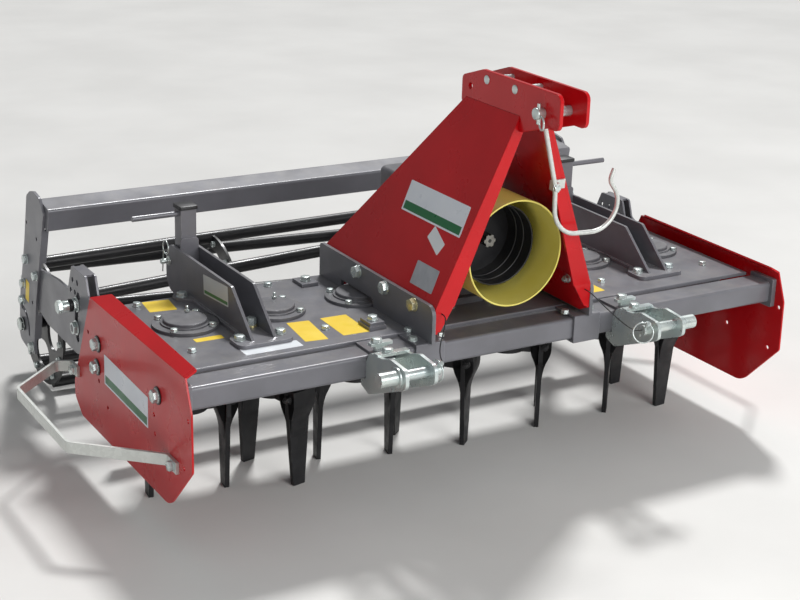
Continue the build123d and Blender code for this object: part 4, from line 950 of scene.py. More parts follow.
@dataclass
class GearTrough:
    """The trough, its lid and the rotor covers, with their bolts and films.

    Args:
        datum: Where places are measured from.
        cover_height: Height of a rotor cover over the lid.
        cover_bolt_circle: Radius on which a cover's bolts stand.
        cover_bolts: How many bolts a cover has.
        first_bolt: Where the first of them stands, in degrees.
        bolt_turn: How far each head is turned past the last, in degrees.
        nipple_seat: X and Y of a grease nipple from its rotor, and its height over the lid.
        nipple: The steps of a grease nipple, from its hexagon up.
        bolt_rows: Rows of lid bolts, each with its Y and the X of every bolt.
        films: The blank films on the lid.
    """

    datum: Datum
    cover_height: float = 8.0
    cover_bolt_circle: float = 75.0
    cover_bolts: int = 4
    first_bolt: float = 45.0
    bolt_turn: float = 17.0
    nipple_seat: Point = (23.0, 40.0, 20.0)
    nipple: tuple[Step, ...] = (
        Step(start=0, radius=7, height=5, sides=HEX_SIDES, rim=0.6),
        Step(start=0, radius=3.4, height=13, sides=12, rim=1.2),
        Step(start=12, radius=4.2, height=4, sides=12, rim=1.4),
    )
    bolt_rows: tuple[tuple[float, tuple[float, ...]], ...] = (
        (-180, (-809, -440, -60, 60, 440, 809)),
        (188, (-807, -530, -424, -140, 140, 424, 530, 807)),
    )
    films: tuple[Label, ...] = (
        Label("film_lid_rear_left", (-754, 162, LID_TOP), (1, -0.12, 0), UP, 74, 82, YELLOW_FILM),
        Label("film_lid_middle_left", (-489, -174, LID_TOP), (1, -0.12, 0), UP, 62, 142, YELLOW_FILM),
        Label("film_lid_middle_right", (-381, -176, LID_TOP), (1, -0.03, 0), UP, 75, 138, YELLOW_FILM),
        Label("film_lid_strip", (-736, -116, LID_TOP), (1, -0.01, 0), UP, 76, 24, YELLOW_FILM),
        Label("film_lid_white", (-622, -241, LID_TOP), (1, -0.01, 0), UP, 156, 42, WHITE_FILM),
        Label("film_lid_right", (376, -199, LID_TOP), (1, 0, 0), UP, 54, 96, YELLOW_FILM),
    )

    def build(self) -> None:
        """Dresses the nodes and adds bolts, nipples and films."""
        dress(GREY_COAT, "trough", "lid")
        dress(CAST_COAT, "rotor_covers")
        bolts = Shape("cover_bolts")
        nipples = Shape("grease_nipples")
        for x in COVER_X:
            self.cover_trim(x, bolts, nipples)
        bolts.piece(ZINC_PLATE, "frame")
        nipples.piece(ZINC_PLATE, "frame")
        self.lid_bolts()
        for film in self.films:
            film.build(self.datum)

    def cover_trim(self, x: float, bolts: Shape, nipples: Shape) -> None:
        """Adds the bolts and the grease nipple of one rotor cover.

        Args:
            x: X of the rotor.
            bolts: The piece that its bolts join.
            nipples: The piece that its nipple joins.
        """
        for step in range(self.cover_bolts):
            turn = math.radians(self.first_bolt + 360 * step / self.cover_bolts)
            spot = (x + self.cover_bolt_circle * math.cos(turn), self.cover_bolt_circle * math.sin(turn))
            seat = self.datum.upright(*spot, LID_TOP + self.cover_height, self.bolt_turn * step)
            bolts.fastener(seat, M10_BOLT)
        right, back, over = self.nipple_seat
        nipples.turned(self.datum.upright(x + right, back, LID_TOP + over), self.nipple)

    def lid_bolts(self) -> None:
        """Adds the bolts along the lid's edges, each turned its own way."""
        shape = Shape("lid_bolts")
        for y, row in self.bolt_rows:
            for x in row:
                shape.fastener(self.datum.upright(x, y, LID_TOP, turn=x), M12_BOLT)
        shape.piece(ZINC_PLATE, "frame")


@dataclass
class Tower:
    """The A-frame: feet, leaning legs, mast plates and the top link pin.

    Args:
        datum: Where places are measured from.
        foot_outer: X of a foot bracket's outer face.
        leg_inner: X of a leg's inner face, on which the foot's nuts lie.
        foot_bolts: Y and Z of the bolts through a foot.
        yellow_bolt: Which of them is chromated yellow.
        base_top: Z of a foot's base and clamp.
        base_bolts: X, Y and turn of the bolts on them.
        pad_x: X of the bolts on a foot's two pads.
        pad_bolts: Y and Z of those.
        leg_foot: X and Z of the point from which places on a leg are measured.
        lean: How far the legs lean inwards, in radians.
        tube_ends: Y of the mast tubes' ends.
        tube_height: Z of those.
        mast_outer: X of a mast plate's outer face.
        top_pin: Y and Z of the top link pin.
        clip_x: X of the hole for its clip.
        pin_end: X of its left end's washer, on the left side.
        hook_bolt: Where the bolt of the drive shaft hook stands.
    """

    datum: Datum
    foot_outer: float = 250.0
    leg_inner: float = 232.0
    foot_bolts: tuple[Spot, ...] = ((-7.0, 542.0), (-154.0, 542.0), (-301.0, 542.0))
    yellow_bolt: Spot = (-301.0, 542.0)
    base_top: float = 464.0
    base_bolts: tuple[Point, ...] = ((254, -283, 254), (196, -345, 196), (276, -345, 285))
    pad_x: float = 321.0
    pad_bolts: tuple[Spot, ...] = ((-214, 484), (163, 475))
    leg_foot: Spot = (240.0, 555.0)
    lean: float = math.atan2(196.0, 485.0)
    tube_ends: Spot = (-277.0, -402.0)
    tube_height: float = 1100.0
    mast_outer: float = 44.0
    top_pin: Spot = (-524.0, 1067.0)
    clip_x: float = -57.0
    pin_end: float = 64.0
    hook_bolt: Point = (65.8, -446.0, 850.0)

    def build(self) -> None:
        """Dresses the nodes and adds bolts, pins and films."""
        for name, side in SIDES:
            dress(RED_COAT, f"tower_leg_{name}", f"mast_plate_{name}")
            dress(GREY_COAT, f"tower_foot_{name}")
            self.foot_fasteners(name, side)
        dress(ZINC_PLATE, "mast_tubes", "top_link_pin")
        dress(ZINC_DIP, "shaft_hook")
        self.mast_trim()
        self.films()

    def foot_fasteners(self, name: str, side: int) -> None:
        """Adds the bolts of one foot bracket, its clamp and its pads.

        Args:
            name: The side's name.
            side: -1 on the left and 1 on the right.
        """
        shape = Shape(f"tower_foot_bolts_{name}")
        front = Shape(f"tower_foot_front_bolt_{name}")
        for y, z in self.foot_bolts:
            bolt = front if (y, z) == self.yellow_bolt else shape
            bolt.fastener(self.datum.outward(side, self.foot_outer, y, z, turn=y), M20_BOLT)
            shape.fastener(aim(self.datum.at(side * self.leg_inner, y, z), (-side, 0, 0), y), M12_NUT)
        front.piece(YELLOW_CHROMATE, "frame")
        for x, y, turn in self.base_bolts:
            shape.fastener(self.datum.upright(side * x, y, self.base_top, turn), M12_BOLT)
        for y, z in self.pad_bolts:
            shape.fastener(self.datum.upright(side * self.pad_x, y, z, turn=y), M16_BOLT)
        shape.piece(ZINC_PLATE, "frame")

    def mast_trim(self) -> None:
        """Adds the bright tube ends, the top link pin's clip and the hook's bolt."""
        ends = Shape("mast_tube_ends")
        for _, side in SIDES:
            for y in self.tube_ends:
                end = self.datum.outward(side, self.mast_outer, y, self.tube_height)
                ends.disc(end, radius=11.5, height=2.0, rim=0.9)
        ends.piece(ZINC_PLATE, "frame")
        clip = Shape("top_link_pin_clip")
        hole = self.datum.at(self.clip_x, *self.top_pin)
        top = hole + Vector((0, 0, 24 * MM))
        clip.disc(aim(top, (0, 0, -1)), radius=4.5, height=50, sides=16, rim=1.2)
        clip.ring(aim(hole + Vector((-3, -19, -20)) * MM, (1, -0.3, 0)), radius=16, wire=5.0)
        washer = self.datum.outward(-1, self.pin_end, *self.top_pin)
        clip.disc(washer, radius=15, height=3, sides=36, rim=1.2)
        clip.fastener(aim(self.datum.at(*self.hook_bolt), (0, -1, 0), 12), M10_BOLT)
        clip.piece(ZINC_PLATE, "frame")

    def on_leg(self, along: float, y: float) -> Point:
        """A place on the left leg's leaning outer face, that far up the slope."""
        x, z = self.leg_foot
        return (along * math.sin(self.lean) - x, y, along * math.cos(self.lean) + z)

    def films(self) -> None:
        """Adds the blank films and plate on the left leg's leaning face."""
        normal = (-math.cos(self.lean), 0.0, math.sin(self.lean))
        slope = Vector((math.sin(self.lean), 0, math.cos(self.lean)))
        tag_up = math.radians(25.5)
        tag_along = tuple(Vector((0, -math.cos(tag_up), 0)) - slope * math.sin(tag_up))
        forward = (0, -1, 0)
        for label in (
            Label("film_leg_banner", self.on_leg(229, -232), forward, normal, 287, 82, BANDED_FILM),
            Label("rating_plate", self.on_leg(59, -296), forward, normal, 105, 62, ANODISED_PLATE, 1.0),
            Label("film_leg_tag", self.on_leg(155, -286), tag_along, normal, 74, 38, WHITE_FILM),
        ):
            label.build(self.datum)


@dataclass
class Drive:
    """The gearbox, the splined stub and the guard round it.

    Args:
        datum: Where places are measured from.
        axis_height: Z of the input shaft.
        guard_front: Y of the guard's open end.
        guard_radius: Radius of the bead on that end.
        bead: Thickness of the bead and of the lining's rings.
        lining_rings: Y and radius of the rings in the lining.
        stub_end: Y of the splined stub's end.
        bolt_columns: X of the gearbox bolts.
        bolt_rows: Y of the gearbox bolts.
        flange_height: Height of the gearbox flange over the lid.
    """

    datum: Datum
    axis_height: float = 667.0
    guard_front: float = -381.0
    guard_radius: float = 139.5
    bead: float = 5.0
    lining_rings: tuple[Spot, ...] = ((-299.0, 107.0), (-262.0, 105.0), (-228.0, 105.0))
    stub_end: float = -261.0
    bolt_columns: Spot = (-128.0, 128.0)
    bolt_rows: tuple[float, ...] = (-140.0, -60.0, 40.0, 125.0)
    flange_height: float = 18.0

    def build(self) -> None:
        """Dresses the nodes and adds the guard's rim, rings, a black disc of painted shade for the stub's
        centre hole, and the bolts.
        """
        dress(CAST_COAT, "gearbox")
        dress(OILED_STEEL, "input_shaft")
        dress(YELLOW_GUARD, "shaft_guard")
        dress(BLACK_LINING, "guard_lining")
        rim = Shape("guard_rim")
        rim.ring(self.on_axis(self.guard_front + 1.5, 1), self.guard_radius, self.bead, steps=96)
        rim.piece(YELLOW_GUARD, "frame")
        ribs = Shape("guard_lining_rings")
        for y, radius in self.lining_rings:
            ribs.ring(self.on_axis(y, 1), radius, self.bead, steps=72)
        ribs.piece(BLACK_LINING, "frame")
        # A thin black disc on the stub's end stands for its centre hole: painted shade
        centre = Shape("stub_centre_hole_painted_shade")
        centre.disc(self.on_axis(self.stub_end, -1), radius=5, height=0.5, sides=28)
        centre.piece(BLACK_LINING, "input_shaft")
        bolts = Shape("gearbox_bolts")
        for x in self.bolt_columns:
            for y in self.bolt_rows:
                bolts.fastener(self.datum.upright(x, y, LID_TOP + self.flange_height, turn=y), M12_BOLT)
        bolts.piece(ZINC_PLATE, "frame")

    def on_axis(self, y: float, facing: int) -> Matrix:
        """A place on the shaft's axis, facing the roller at 1, the tractor at -1."""
        return aim(self.datum.at(0, y, self.axis_height), (0, facing, 0))


@dataclass
class Hitch:
    """The front beam, the clevises and the lower link pins.

    Args:
        datum: Where places are measured from.
        bar_middle: X of the middle of a clamping bar.
        bar_shift: How far to the left of that its bolt stands.
        bar_bolts: Y and Z of the bolts through the two bars.
        link_pin: Y and Z of the lower link pins.
        collar_x: X of a link pin's collar.
        linch_x: X of the hole for its linch pin.
        linch_down: The direction of a linch pin.
        linch_back: How far its head is from the hole's middle.
        ring_radius: Radius of a linch pin's ring.
        left_swing: Which way the left ring hangs, and which way it faces.
        right_swing: The same for the right ring.
    """

    datum: Datum
    bar_middle: float = 381.5
    bar_shift: float = 12.0
    bar_bolts: tuple[Spot, ...] = ((-363.0, 485.0), (-419.0, 478.0))
    link_pin: Spot = (-528.0, 457.0)
    collar_x: float = 427.0
    linch_x: float = 318.0
    linch_down: Point = (0, 0.6, -0.8)
    linch_back: float = 28.0
    ring_radius: float = 26.5
    left_swing: tuple[Point, Point] = ((0, 0.5, -0.866), (1, 0, 0))
    right_swing: tuple[Point, Point] = ((-0.564, 0, -0.823), (0.48, 0.81, -0.33))

    def build(self) -> None:
        """Dresses the nodes and adds clamp bolts and linch pins."""
        dress(GREY_COAT, "front_beam")
        for name, side in SIDES:
            dress(ZINC_PLATE, f"hitch_clevis_{name}", f"hitch_pin_{name}", f"hitch_bar_{name}")
            dress(GREY_COAT, f"hitch_saddle_{name}")
            self.clamp_bolts(name, side)
            self.linch_pin(name, side)

    def clamp_bolts(self, name: str, side: int) -> None:
        """Adds the bolts through the two clamping bars and the pin's collar.

        Args:
            name: The side's name.
            side: -1 on the left and 1 on the right.
        """
        shape = Shape(f"clevis_bolts_{name}")
        for y, z in self.bar_bolts:
            x = side * self.bar_middle - self.bar_shift
            shape.fastener(self.datum.upright(x, y, z, turn=y), M16_BOLT)
        collar = self.datum.outward(side, self.collar_x, *self.link_pin)
        shape.disc(collar, radius=25, height=6, sides=36, rim=1.2)
        shape.piece(ZINC_PLATE, "frame")

    def linch_pin(self, name: str, side: int) -> None:
        """Adds the linch pin through the inner end of the lower link pin.

        Args:
            name: The side's name.
            side: -1 on the left and 1 on the right.
        """
        shape = Shape(f"linch_pins_{name}")
        hang, facing = self.left_swing if side < 0 else self.right_swing
        hole = self.datum.at(side * self.linch_x, *self.link_pin)
        back = Vector(self.linch_down).normalized() * -self.linch_back * MM
        shape.disc(aim(hole + back, self.linch_down), radius=4, height=54, sides=14, rim=1.2)
        shape.disc(aim(hole + back * 0.8, back), radius=7.5, height=9, sides=20, rim=1.5)
        middle = hole + back + Vector(hang).normalized() * self.ring_radius * MM
        shape.ring(aim(middle, facing), self.ring_radius, wire=3.8)
        shape.piece(ZINC_PLATE, "frame")


@dataclass
class Lanyards:
    """The cord that ties each lower link pin's linch pin to the beam.

    Args:
        datum: Where places are measured from.
        radius: The cord's radius, in mm.
        length: The cord's length, in metres; not used.
        route: The right cord's points, in metres, with Y from the rotor line.
    """

    datum: Datum
    radius: float = 1.5
    length: float = 0.198
    route: tuple[Point, ...] = (
        (0.222, -0.390, 0.541),
        (0.222, -0.40794, 0.541),
        (0.2319, -0.4245, 0.52855),
        (0.2499, -0.44244, 0.50614),
        (0.2697, -0.46176, 0.48373),
        (0.2823, -0.4866, 0.46796),
        (0.2886, -0.5142, 0.46049),
        (0.2985, -0.528, 0.458),
        (0.312, -0.528, 0.458),
    )

    def build(self) -> None:
        """Makes both cords, each in the place of its CAD tube."""
        for name, side in SIDES:
            self.cord(name, side)

    def cord(self, name: str, side: int) -> None:
        """Args:
            name: The side's name.
            side: -1 on the left and 1 on the right.
        """
        points = [Vector((side * x, y + self.datum.rotor_line, z)) for x, y, z in self.route]
        data = bpy.data.curves.new(f"lanyard_{name}", "CURVE")
        data.dimensions = "3D"
        data.bevel_depth = self.radius * MM
        data.bevel_resolution = 4
        data.resolution_u = 10
        data.use_fill_caps = True
        spline = data.splines.new("NURBS")
        spline.points.add(len(points) - 1)
        for point, place in zip(spline.points, points):
            point.co = (*place, 1.0)
        spline.order_u = 3
        spline.use_endpoint_u = True
        data.materials.append(NYLON_CORD.material())
        cord = bpy.data.objects.new(f"lanyard_{name}", data)
        bpy.context.scene.collection.objects.link(cord)
        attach(cord, "frame")
        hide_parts(f"pin_lanyard_{name}")


@dataclass
class SideBoards:
    """The red side plates and the bowed guard bars.

    Args:
        datum: Where places are measured from.
        outer: X of a side plate's outer face.
        washer: Thickness of the black washers on it.
        bar: Thickness of a guard bar's ends on it.
        plate_bolts: Y and Z of a side plate's bolts.
        guard_bolts: Y and Z of a guard bar's bolts.
        banner_fall: How far the banner falls towards the tractor, in radians.
    """

    datum: Datum
    outer: float = 917.0
    washer: float = 2.5
    bar: float = 8.0
    plate_bolts: tuple[Spot, ...] = ((190.0, 376.0), (200.0, 308.0), (-219.0, 384.0))
    guard_bolts: tuple[Spot, ...] = ((-321.0, 243.0), (365.0, 243.0))
    banner_fall: float = math.atan2(9.0, 300.0)

    def build(self) -> None:
        """Dresses the nodes and adds bolts and the film."""
        for name, side in SIDES:
            dress(RED_COAT, f"side_plate_{name}")
            dress(ZINC_DIP, f"side_guard_{name}")
            shape = Shape(f"side_plate_bolts_{name}")
            washers = Shape(f"side_plate_washers_{name}")
            for y, z in self.plate_bolts:
                face = self.datum.outward(side, self.outer, y, z)
                washers.disc(face, radius=23, height=self.washer, sides=36, rim=0.6)
                shape.fastener(self.datum.outward(side, self.outer + self.washer, y, z, turn=y), M20_BOLT)
            washers.piece(BLACK_ENAMEL, "frame")
            for y, z in self.guard_bolts:
                shape.fastener(self.datum.outward(side, self.outer + self.bar, y, z, turn=y), M16_BOLT)
            shape.piece(ZINC_PLATE, "frame")
        along = (0, -math.cos(self.banner_fall), -math.sin(self.banner_fall))
        centre = (-self.outer, -4, 317)
        Label("film_side_banner", centre, along, (-1, 0, 0), 300, 84, BANDED_FILM).build(self.datum)


@dataclass
class Leveller:
    """The levelling board with its uprights, handles and brackets.

    Args:
        datum: Where places are measured from.
        outer: X of a bracket's outer face.
        base_top: Z of the brackets' bases.
        base_bolts: X and Y of a base's bolts.
        plug: X and Y of a filler plug.
        upright_top: X, Y and Z of the top of an upright.
        pin: Y and Z of the pin that holds an upright.
    """

    datum: Datum
    outer: float = 659.0
    base_top: float = 476.0
    base_bolts: tuple[Spot, ...] = ((680.5, -180.0), (680.5, 183.0), (568.5, 183.0), (568.5, -180.0))
    plug: Spot = (613.0, -104.0)
    upright_top: Point = (624.5, 284.0, 688.5)
    pin: Spot = (322.0, 532.0)

    def build(self) -> None:
        """Dresses the nodes and adds bolts, pins and films."""
        dress(GREY_COAT, "leveller_board")
        for name, side in SIDES:
            dress(GREY_COAT, f"leveller_bracket_{name}", f"leveller_upright_{name}")
            self.upright_cap(name, side)
            bolts = Shape(f"leveller_bolts_{name}")
            for x, y in self.base_bolts:
                bolts.fastener(self.datum.upright(side * x, y, self.base_top, turn=y), M16_BOLT)
            bolts.piece(ZINC_PLATE, "frame")
            self.height_pin(name, side)
            self.filler_plug(name, side)
        centre = (-self.outer, 12, 542)
        Label("film_leveller", centre, (0, -1, 0.08), (-1, 0, 0), 153, 54, STRIPED_FILM).build(self.datum)

    def upright_cap(self, name: str, side: int) -> None:
        """Adds the moulded cap on the top of an upright.

        Args:
            name: The side's name.
            side: -1 on the left and 1 on the right.
        """
        x, y, z = self.upright_top
        cap = Shape(f"upright_cap_{name}")
        cap.slab(self.datum.upright(side * x, y, z), size=(53, 53, 10), corner=5.5, rim=1.8)
        cap.piece(BLACK_LINING, "leveller")

    def height_pin(self, name: str, side: int) -> None:
        """Adds the pin through the bracket that holds the upright's height.

        Args:
            name: The side's name.
            side: -1 on the left and 1 on the right.
        """
        shape = Shape(f"leveller_pin_{name}")
        head = self.datum.outward(side, self.outer, *self.pin)
        shape.disc(head, radius=13, height=2.5, sides=28, rim=0.6)
        shape.disc(head, radius=7, height=24, sides=20, rim=2.5)
        clip = self.datum.at(side * self.outer, *self.pin) + Vector((side * 15 * MM, -16 * MM, 44 * MM))
        shape.ring(aim(clip, (1, 0, 0)), radius=19, wire=3.4)
        leg = aim(clip + Vector((0, 16, -14)) * MM, (0, 0.14, -1))
        shape.disc(leg, radius=1.7, height=62, sides=12, rim=0.6)
        shape.piece(ZINC_PLATE, "frame")

    def filler_plug(self, name: str, side: int) -> None:
        """Adds the plug on the bracket's base, with its yellow seat.

        Args:
            name: The side's name.
            side: -1 on the left and 1 on the right.
        """
        x, y = self.plug
        base = self.datum.upright(side * x, y, self.base_top)
        plug = Shape(f"filler_plug_{name}")
        plug.disc(base, radius=13.5, height=24, sides=HEX_SIDES, rim=1.5)
        plug.piece(ZINC_PLATE, "frame")
        collar = Shape(f"filler_plug_seat_{name}")
        collar.disc(base, radius=14.8, height=5, rim=1.0)
        collar.piece(YELLOW_CHROMATE, "frame")


@dataclass
class RollerFrame:
    """The slotted brackets, arms, end plates and cross bar of the roller.

    Args:
        datum: Where places are measured from.
        plate_outer: X of an end plate's outer face.
        plate_bolts: Y and Z of the bolts on it.
        slot_x: X of the face that the depth bolts' nuts lie on.
        arm_pivot: Y and Z of the pivot that the slots are centred on.
        slot_radius: Radius of the slots.
        slot_angles: Where the two depth bolts stand in a slot, the long one last, in degrees.
        seal: The moulded ring on the long bolt.
        bolt_end: The steps of the long bolt past its seal.
    """

    datum: Datum
    plate_outer: float = 904.0
    plate_bolts: tuple[Spot, ...] = (
        (808.0, 427.0),
        (726.0, 399.0),
        (844.0, 341.0),
        (861.0, 284.0),
        (792.0, 158.0),
    )
    slot_x: float = 909.0
    arm_pivot: Spot = (215.0, 372.0)
    slot_radius: float = 163.0
    slot_angles: Spot = (-5.0, 20.0)
    seal: Step = Step(start=14, radius=17.5, height=9, sides=36, rim=1.5)
    bolt_end: tuple[Step, ...] = (
        Step(start=24, radius=15.5, height=20, sides=36, rim=1.0),
        Step(start=43, radius=18.5, height=13, sides=HEX_SIDES, rim=1.6),
    )

    def build(self) -> None:
        """Dresses the nodes and adds the bolts and the film."""
        dress(GREY_COAT, "cross_bar")
        centre = (-self.plate_outer, 814, 326)
        film = Label("film_roller_plate", centre, (0, 0.21, -0.98), (-1, 0, 0), 66, 30, YELLOW_FILM)
        film.build(self.datum, "roller_frame")
        for name, side in SIDES:
            dress(GREY_COAT, f"depth_bracket_{name}", f"roller_arm_{name}", f"roller_plate_{name}")
            dress(ZINC_PLATE, f"arm_pivot_{name}")
            shape = Shape(f"roller_plate_bolts_{name}")
            for y, z in self.plate_bolts:
                shape.fastener(self.datum.outward(side, self.plate_outer, y, z, turn=y), M16_BOLT)
            shape.piece(ZINC_PLATE, "roller_frame")
            self.depth_bolts(name, side)

    def depth_bolts(self, name: str, side: int) -> None:
        """Adds nuts on the two bolts that ride in the slot, and one's long end.

        Args:
            name: The side's name.
            side: -1 on the left and 1 on the right.
        """
        shape = Shape(f"depth_bolts_{name}")
        y, z = self.arm_pivot
        for angle in self.slot_angles:
            turn = math.radians(angle)
            up = (y + self.slot_radius * math.cos(turn), z + self.slot_radius * math.sin(turn))
            nut = self.datum.outward(side, self.slot_x, *up, turn=angle)
            shape.fastener(nut, M22_NUT)
        shape.turned(nut, self.bolt_end)
        shape.piece(ZINC_PLATE, "roller_frame")
        seal = Shape(f"depth_bolt_ring_{name}")
        seal.turned(nut, [self.seal])
        seal.piece(BLACK_LINING, "roller_frame")


@dataclass
class CageRoller:
    """The roller, its axle nuts and the bolts where its bars meet the discs.

    Args:
        datum: Where places are measured from.
        axle: Y and Z of the axle.
        axle_end: X of the face that an axle nut lies on.
        discs: X of the discs' middles.
        disc_half: Half of a disc's thickness.
        bars: How many bars the cage has.
        start: Where the first bar stands on the first disc, in degrees.
        twist: How far the bars turn from the first disc to the last, in degrees.
        bolt_circle: Radius on which the bolts stand.
        beside: How far each bolt of a pair is from its bar, in degrees.
    """

    datum: Datum
    axle: Spot = (870.0, 205.0)
    axle_end: float = 908.0
    discs: tuple[float, ...] = (-845.0, -281.7, 281.7, 845.0)
    disc_half: float = 4.0
    bars: int = 7
    start: float = -3.0
    twist: float = 24.0
    bolt_circle: float = 172.0
    beside: float = 9.5

    def build(self) -> None:
        """Dresses the roller and adds its nuts and bolts."""
        dress(BLACK_ENAMEL, "roller")
        nuts = Shape("roller_axle_nuts")
        for _, side in SIDES:
            nuts.fastener(self.datum.outward(side, self.axle_end, *self.axle), AXLE_NUT)
        nuts.piece(ZINC_PLATE, "roller")
        bolts = Shape("roller_disc_bolts")
        for station, x in enumerate(self.discs):
            turned = self.start + self.twist * station / (len(self.discs) - 1)
            for bar in range(self.bars):
                for beside in (-self.beside, self.beside):
                    turn = math.radians(turned + 360 * bar / self.bars + beside)
                    y = self.axle[0] + self.bolt_circle * math.sin(turn)
                    z = self.axle[1] + self.bolt_circle * math.cos(turn)
                    face = self.datum.at(x - self.disc_half, y, z)
                    bolts.fastener(aim(face, (-1, 0, 0), beside * bar), M10_BOLT)
        bolts.piece(ZINC_PLATE, "roller")


@dataclass
class Rotors:
    """The seven rotors with their tines' forged shoulders and bolts.

    Args:
        datum: Where places are measured from.
        angles: How each rotor is turned, in degrees.
        tine_radius: Radius on which the tines stand.
        clamp_radius: Radius on which their clamp bolts stand.
        clamp_half: How far a clamp bolt's nut is from the middle of its tine.
        clamp_height: Z of the clamp bolts.
        shoulder: Height, width and depth of a shoulder's sections.
    """

    datum: Datum
    angles: tuple[float, ...] = (173, 103, 166, 131, 146, 138, 97)
    tine_radius: float = 102.0
    clamp_radius: float = 112.0
    clamp_half: float = 37.0
    clamp_height: float = 258.0
    shoulder: tuple[Point, ...] = (
        (282.0, 60.0, 74.0),
        (248.0, 60.0, 74.0),
        (237.0, 58.0, 72.0),
        (226.0, 52.0, 70.0),
        (215.0, 43.0, 68.0),
        (204.0, 34.0, 64.0),
        (193.0, 27.0, 61.0),
        (181.0, 21.5, 58.0),
        (166.0, 17.0, 55.0),
        (140.0, 12.6, 50.0),
    )

    def build(self) -> None:
        """Dresses each rotor and adds its tines' shoulders and clamp bolts."""
        for number, (x, angle) in enumerate(zip(ROTOR_X, self.angles), 1):
            dress(DIPPED_TINE, f"rotor_{number}")
            bolts = Shape(f"tine_bolts_{number}")
            forged = Shape(f"tine_shoulders_{number}")
            for half_turn in (0, 180):
                self.tine_trim(x, math.radians(angle + half_turn), bolts, forged)
            bolts.piece(DIPPED_TINE, f"rotor_{number}")
            forged.piece(DIPPED_TINE, f"rotor_{number}")

    def tine_trim(self, x: float, out: float, bolts: Shape, forged: Shape) -> None:
        """Adds the shoulder and the two clamp nuts of one tine.

        Args:
            x: X of the rotor.
            out: Which way the tine stands from the rotor's axis, in radians.
            bolts: The piece that the nuts join.
            forged: The piece that the shoulder joins.
        """
        axis = self.datum.at(x + self.tine_radius * math.cos(out), self.tine_radius * math.sin(out), 0)
        forged.taper(Matrix.Translation(axis) @ Matrix.Rotation(out, 4, "Z"), self.shoulder, rounding=2.5)
        for across in (-1, 1):
            spot = self.datum.at(
                x + self.clamp_radius * math.cos(out) - across * self.clamp_half * math.sin(out),
                self.clamp_radius * math.sin(out) + across * self.clamp_half * math.cos(out),
                self.clamp_height,
            )
            facing = (-across * math.sin(out), across * math.cos(out), 0)
            bolts.fastener(aim(spot, facing, 15), M12_NUT)


# Studio


class LampKind(Enum):
    """The kinds of lamp, by the names that Blender gives them."""

    SUN = "SUN"
    AREA = "AREA"


@dataclass(frozen=True)
class Lamp:
    """A lamp that is aimed at the middle of the harrow.

    Args:
        name: The lamp's name.
        kind: A sun or a round area lamp.
        place: Where it hangs, in mm from the rotor line.
        spread: A sun's angle in radians, or an area lamp's width in metres.
        power: Its strength, in watts for an area lamp.
    """

    name: str
    kind: LampKind
    place: Point
    spread: float
    power: float

    def hang(self, datum: Datum, target: Vector) -> None:
        """Makes the lamp.

        Args:
            datum: Where places are measured from.
            target: What it shines at, in metres.
        """
        data = bpy.data.lights.new(self.name, self.kind.value)
        if self.kind is LampKind.SUN:
            data.angle = self.spread
        else:
            data.shape = "DISK"
            data.size = self.spread
        data.energy = self.power
        lamp = bpy.data.objects.new(self.name, data)
        lamp.location = datum.at(*self.place)
        lamp.rotation_euler = (target - lamp.location).to_track_quat("-Z", "Y").to_euler()
        bpy.context.scene.collection.objects.link(lamp)


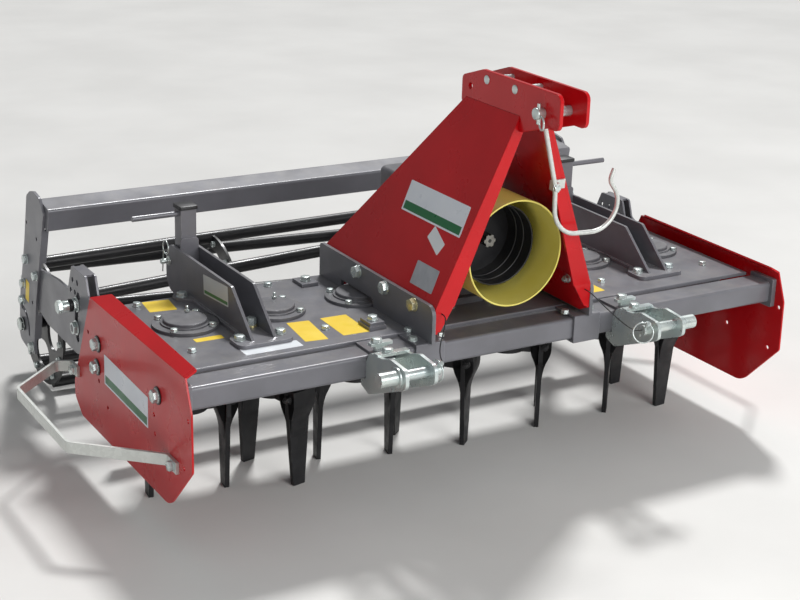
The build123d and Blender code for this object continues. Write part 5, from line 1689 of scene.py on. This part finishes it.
@dataclass
class Studio:
    """The floor, the lamps, the background and the camera.

    Args:
        datum: Where places are measured from.
        camera_place: Where the camera stands, in mm from the rotor line.
        azimuth: Which way it looks, in degrees from +Y towards -X.
        pitch: How far it looks down, in degrees.
        roll: How far it leans, in degrees.
        focal_pixels: Its focal length in pixels of the photograph.
        image_width: Width of the photograph, in pixels.
        sensor: Width of its sensor, in mm.
        floor_half: Half of the floor's width, in metres.
        target: What the lamps shine at.
        lamps: The lamps: an even, soft key at the right rear and two wide fills.
    """

    datum: Datum
    camera_place: Point = (-2289.0, -3637.0, 1928.0)
    azimuth: float = -30.907
    pitch: float = 19.378
    roll: float = 1.829
    focal_pixels: float = 1630.8
    image_width: float = 800.0
    sensor: float = 36.0
    floor_half: float = 40.0
    target: Point = (0.0, 200.0, 450.0)
    lamps: tuple[Lamp, ...] = (
        Lamp("key", LampKind.SUN, (2600, 3600, 6500), math.radians(9), 2.6),
        Lamp("front_fill", LampKind.AREA, (800, -6400, 3200), 4.5, 270.0),
        Lamp("right_fill", LampKind.AREA, (6400, -2400, 2600), 4.5, 120.0),
    )

    def build(self) -> None:
        """Makes the camera, the floor, the lamps and the background."""
        self.camera()
        self.floor()
        for lamp in self.lamps:
            lamp.hang(self.datum, self.datum.at(*self.target))
        self.background()
        bpy.context.scene.view_settings.view_transform = "Standard"

    def camera(self) -> None:
        """Makes the camera at the photograph's place and angle."""
        turn, down, lean = (math.radians(angle) for angle in (self.azimuth, self.pitch, self.roll))
        forward = Vector((-math.sin(turn) * math.cos(down), math.cos(turn) * math.cos(down), -math.sin(down)))
        right = forward.cross(Vector(UP)).normalized()
        above = right.cross(forward)
        across = right * math.cos(lean) + above * math.sin(lean)
        upward = above * math.cos(lean) - right * math.sin(lean)
        data = bpy.data.cameras.new("camera")
        data.sensor_width = self.sensor
        data.lens = self.focal_pixels / self.image_width * self.sensor
        data.clip_end = 200.0
        camera = bpy.data.objects.new("camera", data)
        basis = Matrix((across, upward, -forward)).transposed().to_4x4()
        camera.matrix_world = Matrix.Translation(self.datum.at(*self.camera_place)) @ basis
        bpy.context.scene.collection.objects.link(camera)
        bpy.context.scene.camera = camera

    def floor(self) -> None:
        """Makes the plain pale floor: smooth troweled concrete."""
        mesh = bmesh.new()
        bmesh.ops.create_grid(mesh, x_segments=1, y_segments=1, size=self.floor_half)
        data = bpy.data.meshes.new("floor")
        mesh.to_mesh(data)
        mesh.free()
        floor = bpy.data.objects.new("floor", data)
        bpy.context.scene.collection.objects.link(floor)
        material = bpy.data.materials.new("troweled_concrete_pale")
        material.use_nodes = True
        tree = material.node_tree
        shader = tree.nodes["Principled BSDF"]
        place = add_node(tree, "ShaderNodeTexCoord").outputs["Object"]
        cloud = add_node(tree, "ShaderNodeTexNoise", {"Vector": place, "Scale": 1.4, "Detail": 6.0})
        ramp = add_node(tree, "ShaderNodeValToRGB", {"Fac": cloud.outputs["Fac"]})
        set_ramp(ramp, [(0.35, linear("#D3D2CF")), (0.65, linear("#DBDAD7"))])
        tree.links.new(ramp.outputs["Color"], shader.inputs["Base Color"])
        shader.inputs["Roughness"].default_value = 0.8
        data.materials.append(material)

    def background(self) -> None:
        """Sets the pale background light."""
        world = bpy.data.worlds.new("pale_sky")
        world.use_nodes = True
        bpy.context.scene.world = world
        sky = world.node_tree.nodes["Background"]
        sky.inputs["Color"].default_value = linear("#E9EBEE")
        sky.inputs["Strength"].default_value = 0.36


def main() -> None:
    """Builds the harrow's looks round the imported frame."""
    logging.basicConfig(level=logging.INFO, format="%(message)s")
    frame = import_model()
    NODES.update(frame["nodes"])
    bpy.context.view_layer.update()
    datum = Datum.from_frame()
    makers: list[Callable[[Datum], Any]] = [
        Studio,
        Lanyards,
        GearTrough,
        Tower,
        Drive,
        Hitch,
        SideBoards,
        Leveller,
        RollerFrame,
        CageRoller,
        Rotors,
    ]
    for maker in makers:
        part = maker(datum)
        part.build()
        log.info("%s is done", type(part).__name__)


if __name__ == "__main__":
    main()
